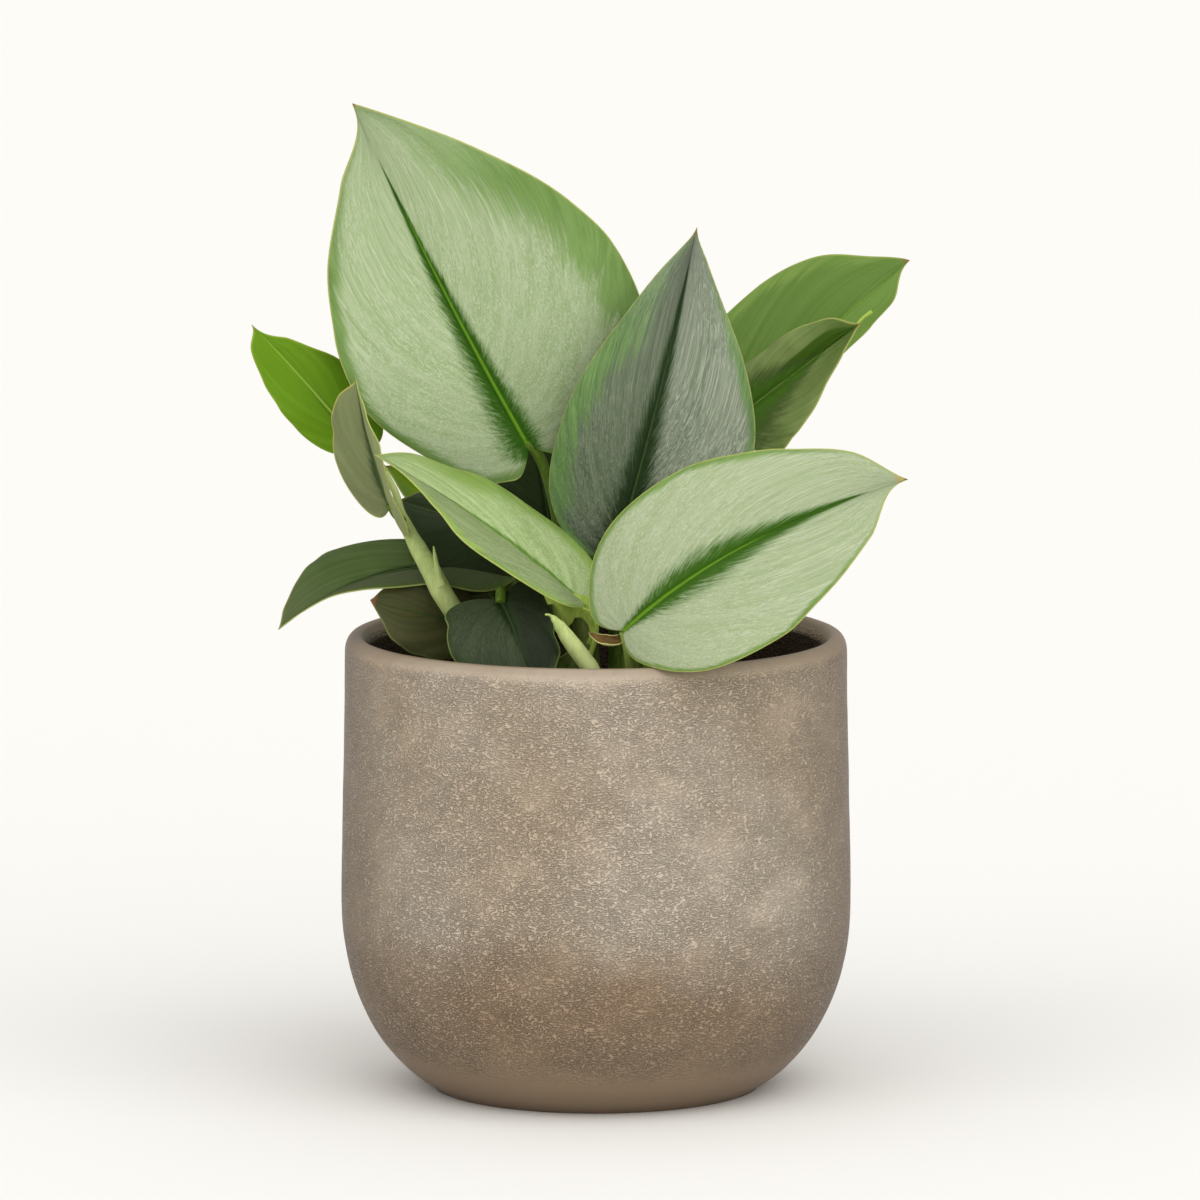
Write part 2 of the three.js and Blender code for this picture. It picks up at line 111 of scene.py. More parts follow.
def new_material(name, **inputs):
    """A material with one Principled shader; returns the material, its node tree and the shader."""
    material = bpy.data.materials.new(name)
    material.use_nodes = True
    shader = material.node_tree.nodes["Principled BSDF"]
    for socket, value in inputs.items():
        shader.inputs[socket.replace("_", " ")].default_value = value
    return material, material.node_tree, shader


def finish_piece(name, mesh, materials, unit=MM):
    """Makes a smooth-shaded object of a bmesh, with its place in the mesh."""
    bmesh.ops.scale(mesh, verts=mesh.verts, vec=(unit, unit, unit))
    data = bpy.data.meshes.new(name)
    mesh.to_mesh(data)
    mesh.free()
    data.shade_smooth()
    for material in materials:
        data.materials.append(material)
    piece = bpy.data.objects.new(name, data)
    scene.collection.objects.link(piece)
    return piece


floor_mesh = bmesh.new()
bmesh.ops.create_circle(floor_mesh, cap_ends=True, segments=96, radius=FLOOR_RADIUS)
floor_paint, _, _ = new_material("floor_paint", Base_Color=FLOOR_COLOUR, Roughness=0.9,
                                 Specular_IOR_Level=0.1)
finish_piece("floor", floor_mesh, [floor_paint], unit=1)

for name, lamp in LAMPS.items():
    sun = bpy.data.lights.new(name, "SUN")
    sun.energy = lamp["power"]
    sun.angle = math.radians(lamp["spread"])
    stand = bpy.data.objects.new(name, sun)
    turn, height = math.radians(lamp["turn"]), math.radians(lamp["height"])
    place = Vector((math.sin(turn) * math.cos(height), -math.cos(turn) * math.cos(height), math.sin(height)))
    stand.rotation_euler = place.to_track_quat("Z", "Y").to_euler()
    scene.collection.objects.link(stand)

scene.world = bpy.data.worlds.new("room")
scene.world.use_nodes = True
walls = scene.world.node_tree
heading = add_node(walls, "TexCoord", {}).outputs["Generated"]
sideways = add_node(walls, "SeparateXYZ", {0: heading}).outputs["X"]
share = ease(walls, calc(walls, "ABSOLUTE", sideways), *DARK_SIDES)
room = walls.nodes["Background"]
feed(walls, room.inputs["Color"], blend(walls, share, ROOM_LIGHT, SIDE_LIGHT))
room.inputs["Strength"].default_value = ROOM_STRENGTH
scene.view_settings.view_transform = "Standard"


# Pot: one piece of fired stoneware, thrown round, with a round-topped lip, a belly and a flat foot. The wall
# has a fine leathery relief that stops short of the lip and the foot; the inside is painted very dark brown
# as painted shade.
POT_HEIGHT = 136.5
POT_RIM_RADIUS = 75
POT_BELLY = (76.2, 56)
POT_FOOT_RADIUS = 48.8
POT_FOOT_BEVEL = 1.2
POT_FOOT_PULL = (64, 9)
POT_BELLY_PULL = 80
POT_RIM_PULL = 105
POT_WALL = 6.7
POT_LIP_RISE = 5
POT_FLOOR = 10
POT_INNER_ROUNDNESS = 2.4
POT_SIDES = 360
POT_UNEVENNESS = 0.12
SMOOTH_FOOT = (0.008, 0.022)
SMOOTH_LIP = (0.135, 0.131)
WRINKLE_BEND = 0.004
WRINKLE_DEPTH = 0.0013
CLAY = {
    "ground": (0.475, 0.375, 0.266, 1), "pale": (0.545, 0.462, 0.365, 1), "browned": (0.3, 0.195, 0.11, 1),
    "foot": (0.16, 0.12, 0.075, 1), "painted_side_shade": (0.18, 0.12, 0.07, 1), "painted_trough_shade": (0.19, 0.14, 0.09, 1),
    "painted_ridge_highlight": (0.64, 0.56, 0.44, 1), "lip": (0.2, 0.15, 0.1, 1), "mottle": (0.16, 0.115, 0.07, 1),
    "hollow": (0.07, 0.042, 0.022, 1),
}


def wall_inside(height):
    """The radius of the pot's hollow at a height."""
    rim, belly = POT_RIM_RADIUS - POT_WALL, POT_BELLY[0] - POT_WALL
    if height > POT_BELLY[1]:
        share = (height - POT_BELLY[1]) / (POT_HEIGHT - POT_LIP_RISE - POT_BELLY[1])
        return belly + (rim - belly) * share
    drop = (POT_BELLY[1] - height) / (POT_BELLY[1] - POT_FLOOR)
    return belly - (belly - POT_FOOT_RADIUS) * drop ** POT_INNER_ROUNDNESS


def pot_profile():
    """Radius and height along the pot's wall, from the middle of its underside to that of its floor."""
    def flat(*point):
        return Vector((*point, 0))
    lip_height = POT_HEIGHT - POT_LIP_RISE
    line = [flat(radius, 0) for radius in (0, POT_FOOT_RADIUS / 2, POT_FOOT_RADIUS - 0.6, POT_FOOT_RADIUS)]
    line += interpolate_bezier(
        flat(POT_FOOT_RADIUS + POT_FOOT_BEVEL, POT_FOOT_BEVEL), flat(*POT_FOOT_PULL),
        flat(POT_BELLY[0], POT_BELLY[1] / 2), flat(*POT_BELLY), 60)
    line += interpolate_bezier(
        flat(*POT_BELLY), flat(POT_BELLY[0], POT_BELLY_PULL),
        flat(POT_RIM_RADIUS, POT_RIM_PULL), flat(POT_RIM_RADIUS, lip_height), 60)[1:]
    for step in range(1, 21):
        angle = math.pi * step / 20
        line.append(flat(POT_RIM_RADIUS - POT_WALL / 2 * (1 - math.cos(angle)),
                         lip_height + POT_LIP_RISE * math.sin(angle)))
    steps = 30
    for step in range(1, steps + 1):
        height = lip_height + (POT_FLOOR - lip_height) * step / steps
        line.append(flat(wall_inside(height), height))
    return line + [flat(POT_FOOT_RADIUS / 2, POT_FLOOR), flat(0, POT_FLOOR)]


def spin_round(line, sides):
    """A closed body of revolution round Z from a line of radius and height."""
    mesh = bmesh.new()
    points = [mesh.verts.new((point.x, 0, point.y)) for point in line]
    edges = [mesh.edges.new(pair) for pair in zip(points, points[1:])]
    bmesh.ops.spin(mesh, geom=points + edges, axis=(0, 0, 1), angle=math.tau, steps=sides, use_merge=True)
    bmesh.ops.remove_doubles(mesh, verts=mesh.verts, dist=0.001)
    bmesh.ops.recalc_face_normals(mesh, faces=mesh.faces)
    return mesh


pot_mesh = spin_round(pot_profile(), POT_SIDES)
# Marks the inside of the wall and the floor, which the clay's colour paints very dark as painted shade
hollow = pot_mesh.verts.layers.float.new("hollow")
for vertex in pot_mesh.verts:
    height, out = vertex.co.z, math.hypot(vertex.co.x, vertex.co.y)
    vertex[hollow] = POT_FLOOR - 0.1 < height <= POT_HEIGHT - POT_LIP_RISE and out < wall_inside(height) + 1
    if height > POT_FOOT_BEVEL:
        outward = Vector((vertex.co.x, vertex.co.y, 0)).normalized()
        swell = noise.fractal(vertex.co / 22, 0.6, 2.0, 3)
        vertex.co += outward * swell * POT_UNEVENNESS


def sums(tree):
    """The four plain sums in one node tree: plus, minus, times and over."""
    return [partial(calc, tree, operation) for operation in ("ADD", "SUBTRACT", "MULTIPLY", "DIVIDE")]


def mixed(tree, *parts):
    """The weighted sum of (weight, value) pairs."""
    total = 0
    for weight, value in parts:
        total = calc(tree, "MULTIPLY_ADD", value, weight, total)
    return total


def stretch(tree, vector, factors):
    return add_node(tree, "VectorMath", {0: vector, 1: factors}, operation="MULTIPLY").outputs[0]


def speckle(tree, vector, scale, detail=2.0, roughness=0.5):
    return add_node(tree, "TexNoise", {"Vector": vector, "Scale": scale, "Detail": detail,
                                       "Roughness": roughness}).outputs["Fac"]


def read_attribute(tree, name, kind="Vector"):
    return add_node(tree, "Attribute", {}, attribute_name=name).outputs[kind]


def roughen(tree, shader, height, distance):
    """A Bump node on the shader's normal."""
    bump = add_node(tree, "Bump", {"Height": height, "Distance": distance})
    feed(tree, shader.inputs["Normal"], bump.outputs[0])


def stoneware():
    """Grey-brown matte clay: cloudy tone, browner low down and in stains, with painted shade towards the
    foot, at the sides that turn away, in the troughs of the wrinkled relief and on the inside, and painted
    highlights on the tops of the relief.
    """
    clay, tree, shader = new_material("stoneware", Roughness=0.45, Specular_IOR_Level=0.35)
    plus, minus, times, _ = sums(tree)
    place = add_node(tree, "TexCoord", {}).outputs["Object"]
    height = add_node(tree, "SeparateXYZ", {0: place}).outputs["Z"]
    clouds = speckle(tree, stretch(tree, place, (1, 1, 0.8)), 15, 3)
    stains = speckle(tree, stretch(tree, place, (0.8, 0.8, 1.6)), 24, 3)
    mottle = speckle(tree, place, 260, 3, 0.6)
    worn = speckle(tree, place, 55, 2)
    drift = add_node(tree, "TexNoise", {"Vector": place, "Scale": 90, "Detail": 1}).outputs["Color"]
    sway = add_node(tree, "VectorMath", {0: drift, 1: (0.5,) * 3}, operation="SUBTRACT").outputs[0]
    bent = add_node(tree, "VectorMath", {0: sway, 1: (WRINKLE_BEND,) * 3, 2: place},
                    operation="MULTIPLY_ADD").outputs[0]
    folds = speckle(tree, stretch(tree, bent, (1, 1, 2.2)), 920, 2, 0.4)
    walled = times(ease(tree, height, *SMOOTH_FOOT), ease(tree, height, *SMOOTH_LIP))
    strength = mixed(tree, (0.25, ease(tree, height, 0.1, 0.035)), (0.75, 1))
    depth = times(strength, mixed(tree, (0.45, ease(tree, worn, 0.3, 0.6)), (0.55, 1)))
    depth = times(walled, depth)
    relief = times(ease(tree, folds, 0.33, 0.62), depth)
    browned = mixed(tree, (1, ease(tree, height, 0.07, 0.026)), (1.3, stains), (-0.63, 1))
    turned = add_node(tree, "LayerWeight", {"Blend": 0.5}).outputs["Facing"]
    tone = blend(tree, ease(tree, clouds, 0.35, 0.65), CLAY["ground"], CLAY["pale"])
    for colour, share, most in (
            ("browned", ease(tree, browned, 0.1, 1), 0.92),
            # Painted shade: the lowest part of the pot darkens towards the underside
            ("foot", ease(tree, height, 0.032, 0.004), 0.6),
            # Painted shade: the wall darkens where it turns away from the view
            ("painted_side_shade", ease(tree, turned, 0.25, 0.9), 0.88),
            # Painted shade in the troughs of the wrinkled relief
            ("painted_trough_shade", minus(depth, relief), 0.1),
            # Painted highlight on the tops of the wrinkled relief
            ("painted_ridge_highlight", relief, 0.12),
            ("lip", ease(tree, height, 0.1325, 0.1355), 0.5),
            ("mottle", ease(tree, mottle, 0.45, 0.7), 0.12),
            # Painted shade: the whole inside is coloured very dark brown
            ("hollow", read_attribute(tree, "hollow", "Fac"), 1)):
        tone = blend(tree, times(share, most), tone, CLAY[colour])
    feed(tree, shader.inputs["Base Color"], tone)
    roughen(tree, shader, plus(relief, times(mottle, 0.1)), WRINKLE_DEPTH)
    return clay


pot = finish_piece("stoneware_pot", pot_mesh, [stoneware()])
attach(pot, "root")
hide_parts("pot")


# Soil: potting mix pressed in by hand to about 24 mm below the rim, crumbly, with chips of bark lying
# loose on it.
SOIL_EDGE_HEIGHT = 110.5
SOIL_CROWN_RISE = 2.5
SOIL_GAP = 0.6
SOIL_RINGS = 70
SOIL_SIDES = 240
SOIL_CRUMBS = 1.6
CHIP_COUNT = 320
CHIP_LENGTHS = (2.0, 6.0)
CHIP_WIDTHS = (0.3, 0.7)
CHIP_HEIGHTS = (0.12, 0.3)
CHIP_SKEW = 0.18
CHIP_TILT = 0.35

soil_line = [Vector((0, POT_FLOOR + 0.3, 0))]
for height in (POT_FLOOR + 0.3, 18, 28, 40, 56, 90, SOIL_EDGE_HEIGHT):
    soil_line.append(Vector((wall_inside(height) - SOIL_GAP, height, 0)))
soil_radius = soil_line[-1].x
for ring in range(1, SOIL_RINGS + 1):
    inward = ring / SOIL_RINGS
    soil_line.append(Vector((soil_radius * (1 - inward), SOIL_EDGE_HEIGHT + SOIL_CROWN_RISE * inward, 0)))
soil_mesh = spin_round(soil_line, SOIL_SIDES)


def crumb_height(x, y):
    """How far the soil's crumbs stand up or sink at a place."""
    return SOIL_CRUMBS * noise.fractal(Vector((x, y, 0)) / 5, 0.7, 2.1, 5)


for vertex in soil_mesh.verts:
    if vertex.co.z >= SOIL_EDGE_HEIGHT:
        vertex.co.z += crumb_height(vertex.co.x, vertex.co.y)
chance = random.Random(4)
for _ in range(CHIP_COUNT):
    turn = chance.uniform(0, math.tau)
    out = (soil_radius - 3) * math.sqrt(chance.random())
    x, y = out * math.cos(turn), out * math.sin(turn)
    rise = SOIL_EDGE_HEIGHT + SOIL_CROWN_RISE * (1 - out / soil_radius) + crumb_height(x, y)
    length = chance.uniform(*CHIP_LENGTHS)
    chip = bmesh.ops.create_cube(soil_mesh, size=1)["verts"]
    for vertex in chip:
        vertex.co += Vector([chance.uniform(-CHIP_SKEW, CHIP_SKEW) for _ in range(3)])
    bmesh.ops.scale(soil_mesh, verts=chip, vec=(length, length * chance.uniform(*CHIP_WIDTHS),
                                               length * chance.uniform(*CHIP_HEIGHTS)))
    tilt = Matrix.Rotation(chance.uniform(0, math.tau), 3, "Z")
    tilt = tilt @ Matrix.Rotation(chance.gauss(0, CHIP_TILT), 3, "X")
    bmesh.ops.rotate(soil_mesh, verts=chip, matrix=tilt)
    bmesh.ops.translate(soil_mesh, verts=chip, vec=(x, y, rise + 0.3))
    for face in {face for vertex in chip for face in vertex.link_faces}:
        face.material_index = 1


def new_group(name, colours, numbers, outputs):
    """A shader node group; returns it with its given values and its results."""
    group = bpy.data.node_groups.new(name, "ShaderNodeTree")
    for label in colours:
        group.interface.new_socket(label, in_out="INPUT", socket_type="NodeSocketColor")
    for label in numbers:
        group.interface.new_socket(label, in_out="INPUT", socket_type="NodeSocketFloat")
    for label, kind in outputs.items():
        group.interface.new_socket(label, in_out="OUTPUT", socket_type="NodeSocket" + kind)
    given = group.nodes.new("NodeGroupInput").outputs
    return group, given, group.nodes.new("NodeGroupOutput").inputs


def use_group(tree, group, values):
    """The outputs of a node group in a material."""
    node = tree.nodes.new("ShaderNodeGroup")
    node.node_tree = group
    for label, value in values.items():
        feed(tree, node.inputs[label], value)
    return node.outputs


def grit_group():
    """Crumbly matter between two browns."""
    group, given, result = new_group("grit", ("Dark", "Light"), ("Scale",),
                                     {"Color": "Color", "Height": "Float"})
    place = add_node(group, "TexCoord", {}).outputs["Object"]
    grit = speckle(group, place, given["Scale"], 5, 0.7)
    feed(group, result["Color"], blend(group, ease(group, grit, 0.35, 0.7), given["Dark"], given["Light"]))
    feed(group, result["Height"], grit)
    return group


grit = grit_group()


def earth(name, dark, light, scale):
    """Dull crumbly matter between two browns."""
    matter, tree, shader = new_material(name, Roughness=0.95, Specular_IOR_Level=0.2)
    look = use_group(tree, grit, {"Dark": dark, "Light": light, "Scale": scale})
    feed(tree, shader.inputs["Base Color"], look["Color"])
    roughen(tree, shader, look["Height"], 0.0008)
    return matter


soil = finish_piece("potting_soil", soil_mesh, [
    earth("peat", (0.012, 0.008, 0.005, 1), (0.05, 0.032, 0.02, 1), 700),
    earth("bark", (0.035, 0.018, 0.009, 1), (0.13, 0.07, 0.035, 1), 500),
])
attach(soil, "root")
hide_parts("soil")


# Silver leaves: thick, leathery, heart-shaped blades, silvered above with a dark feathered band along
# the midrib and green margins, plain green below. Each grew as one piece with its stalk.
BLADE_THICKNESS = 0.75
EDGE_THINNESS = 0.4
BLADE_GRID = (90, 30)
HIDDEN_GRID = (44, 14)
BACK_SHARE = 0.4
THIN_TIP = (0.16, 0.92)
BLUNT_TIP = (0.08, 0.3)
VEIN_SWEEP = 2.15
VEIN_ARC = 0.5
STALK_SIDES = 4
STALK_STEPS = 10
WING_THICKNESS = 1.1
RIPPLES = 17
QUILT_HEIGHT = 0.25
QUILT_SIZE = (4, 40)
GROOVE_DEPTH = 0.4
GROOVE_WIDTH = 1.1
EDGE_SLANT = 0.8
HALF_GAP = 200
LEAF_GAP = 53


def soft_step(value):
    value = min(max(value, 0), 1)
    return value * value * (3 - 2 * value)


def both(value):
    """A value for each half of a blade; one number serves for both."""
    return value if isinstance(value, tuple) else (value, value)


def blade_outline(share, widest, taper, lobe, pinch):
    """How far along (in lengths) and out (in half widths) the margin is; pinch narrows the tip."""
    if share < BACK_SHARE:
        angle = share / BACK_SHARE * math.pi / 2
        notch = lobe * (1 - math.sin(angle)) ** 3
        return widest - (widest + lobe) * math.cos(angle) + notch, math.sin(angle)
    ahead = (share - BACK_SHARE) / (1 - BACK_SHARE)
    along = widest + (1 - widest) * ahead
    thin_part, thinness = pinch
    slim = 1 - thinness * soft_step((along - 1 + thin_part) / thin_part)
    return along, max(math.cos(ahead * math.pi / 2), 0) ** taper * slim


def margin_swell(values, share):
    """How many millimetres the margin stands out from the even outline, smooth between the values."""
    values = [0, *values, 0]
    place = share * (len(values) - 1)
    i = min(int(place), len(values) - 2)
    return values[i] + (values[i + 1] - values[i]) * soft_step(place - i)


class Blade:
    """One leaf blade in millimetres: three points of its midrib, its half widths and the way it faces."""

    def __init__(self, base, middle, tip, half_widths, facing, rise=10, curl=20, widest=0.4, taper=1,
                 lobe=0.1, swell=((0,), (0,)), pinch=(BLUNT_TIP, BLUNT_TIP), wave=0.4):
        self.base, self.tip = Vector(base), Vector(tip)
        self.pull = 2 * Vector(middle) - (self.base + self.tip) / 2
        self.length = (self.pull - self.base).length + (self.tip - self.pull).length
        self.half_widths, self.facing = both(half_widths), Vector(facing)
        self.rise, self.curl = [[math.radians(angle) for angle in both(pair)] for pair in (rise, curl)]
        self.outlines = list(zip(both(widest), both(taper), both(lobe), pinch))
        self.swell, self.wave, self.seed = swell, wave, 0

    def midrib(self, along):
        """A point of the midrib and its heading; straight on behind the base."""
        share = min(max(along, 0), 1)
        first, second = self.pull - self.base, self.tip - self.pull
        point = self.base * (1 - share) ** 2 + self.pull * 2 * share * (1 - share) + self.tip * share ** 2
        point += first * 2 * min(along, 0)
        return point, (first * (1 - share) + second * share).normalized()

    def place(self, share, reach):
        """A point of the middle surface, its normal, and the distances that the markings follow."""
        side = 0 if reach < 0 else 1
        half_width, reached = self.half_widths[side], abs(reach)
        margin_along, margin_out = blade_outline(share, *self.outlines[side])
        vein_root = share ** VEIN_SWEEP
        ahead, outward = (margin_along - vein_root) * self.length, margin_out * half_width
        row = math.hypot(ahead, outward)
        grown = 1 + margin_swell(self.swell[side], share) / max(row, 1e-6)
        along = vein_root + ahead / self.length * grown * reached
        distance = outward * grown * reached
        to_margin = row * grown * (1 - reached) * EDGE_SLANT
        point, heading = self.midrib(along)
        face = (self.facing - heading * self.facing.dot(heading)).normalized()
        out = face.cross(heading) * (1 if reach < 0 else -1)
        bend = self.curl[side] / half_width
        angle = self.rise[side] - bend * distance
        point = point + out * (math.sin(self.rise[side]) - math.sin(angle)) / bend
        point += face * (math.cos(angle) - math.cos(self.rise[side])) / bend
        tilt = 0 if reach == 0 else angle
        normal = face * math.cos(tilt) - out * math.sin(tilt)
        vein = share * (1 - VEIN_ARC * reached) * self.length
        ripple = self.wave * reach * reach * math.sin(share * RIPPLES + side * 2 + self.seed)
        bump = Vector((vein / QUILT_SIZE[0], distance / QUILT_SIZE[1], self.seed))
        quilt = QUILT_HEIGHT * noise.noise(bump)
        groove = -GROOVE_DEPTH * math.exp(-(distance / GROOVE_WIDTH) ** 2) * max(0, 1 - along) ** 0.5
        point += normal * (ripple * min(1, margin_out * 2) + quilt * min(1, to_margin / 3) + groove)
        blade = Vector((distance * (-1 if reach < 0 else 1), to_margin, along))
        grain = Vector((vein + HALF_GAP * side + LEAF_GAP * self.seed, distance * 1.5,
                        (1 - along) * self.length))
        return point, normal, blade, grain


def add_blade(mesh, shape, rows, columns):
    """Adds the closed blade to a bmesh: an upper and a lower sheet joined round the margin."""
    layers = mesh.verts.layers.float_vector
    for name in ("blade", "grain"):
        layers.new(name)
    blade_layer, grain_layer = layers["blade"], layers["grain"]
    upper = bmesh.ops.create_grid(mesh, x_segments=2 * columns, y_segments=rows, size=0.5)["verts"]
    offsets = {}
    for vertex in upper:
        share, reach = min(max(vertex.co.y + 0.5, 0), 1), round(2 * vertex.co.x, 6)
        vertex.co, normal, vertex[blade_layer], vertex[grain_layer] = shape.place(share, reach)
        thin = EDGE_THINNESS + (1 - EDGE_THINNESS) * min(1, vertex[blade_layer].y / 2)
        offsets[vertex] = normal * thin * BLADE_THICKNESS / 2
    sheet = [*upper, *{face for vertex in upper for face in vertex.link_faces},
             *{edge for vertex in upper for edge in vertex.link_edges}]
    copied = bmesh.ops.duplicate(mesh, geom=sheet)
    under = [copied["vert_map"][vertex] for vertex in upper]
    under_faces = [item for item in copied["geom"] if isinstance(item, bmesh.types.BMFace)]
    bmesh.ops.reverse_faces(mesh, faces=under_faces)
    for face in under_faces:
        face.material_index = 1
    for top, below in zip(upper, under):
        top.co += offsets[top]
        below.co -= offsets[top]
    for sheet in (upper, under):
        poles = [vertex for vertex in sheet if vertex.is_boundary and abs(vertex[blade_layer].x) < 1e-6
                 and vertex[blade_layer].y < 1e-4]
        bmesh.ops.remove_doubles(mesh, verts=poles, dist=1e-4)
    rims = [edge for edge in mesh.edges if edge.is_boundary]
    strip = bmesh.ops.bridge_loops(mesh, edges=rims)["faces"]
    for face in strip:
        face.material_index = 2
    bmesh.ops.recalc_face_normals(mesh, faces=mesh.faces)


def smooth_path(points, steps):
    """Points along a smooth curve through the given ones."""
    line = []
    for i in range(len(points) - 1):
        before, start, end, after = (points[min(max(i + k, 0), len(points) - 1)] for k in (-1, 0, 1, 2))
        line += interpolate_bezier(start, start + (end - before) / 6, end - (after - start) / 6, end,
                                   steps + 1)[:-1]
    return line + [points[-1]]


def add_tube(mesh, points, radii, material_index, steps=STALK_STEPS, sides=STALK_SIDES):
    """Adds a round bar along a path to a bmesh; radii holds one value a point, or those of both ends."""
    line = smooth_path([Vector(point) for point in points], steps)
    last = len(points) - 1
    if len(radii) == 2:
        radii = [radii[0] + (radii[1] - radii[0]) * i / last for i in range(last + 1)]
    curve = bpy.data.curves.new("path", "CURVE")
    curve.dimensions = "3D"
    curve.bevel_depth = 1
    curve.bevel_resolution = sides
    curve.use_fill_caps = True
    spline = curve.splines.new("POLY")
    spline.points.add(len(line) - 1)
    for i, (point, place) in enumerate(zip(spline.points, line)):
        span = min(i // steps, last - 1)
        point.co = (*place, 1)
        point.radius = radii[span] + (radii[span + 1] - radii[span]) * soft_step(i / steps - span)
    carrier = bpy.data.objects.new("path", curve)
    tube = bpy.data.meshes.new_from_object(carrier)
    old = len(mesh.faces)
    mesh.from_mesh(tube)
    mesh.faces.ensure_lookup_table()
    for face in mesh.faces[old:]:
        face.material_index = material_index
    bpy.data.objects.remove(carrier)
    bpy.data.curves.remove(curve)
    bpy.data.meshes.remove(tube)


def add_sheet(mesh, corners, faces, thickness, material_index):
    """Adds a thin sheet of the given corners to a bmesh."""
    points = [mesh.verts.new(corner) for corner in corners]
    front = [mesh.faces.new([points[i] for i in face]) for face in faces]
    grown = bmesh.ops.extrude_face_region(mesh, geom=front, use_keep_orig=True)["geom"]
    back = [item for item in grown if isinstance(item, bmesh.types.BMVert)]
    bmesh.ops.translate(mesh, verts=back, vec=(0, thickness, 0))
    skin = list({face for vertex in (*points, *back) for face in vertex.link_faces})
    bmesh.ops.recalc_face_normals(mesh, faces=skin)
    for face in skin:
        face.material_index = material_index


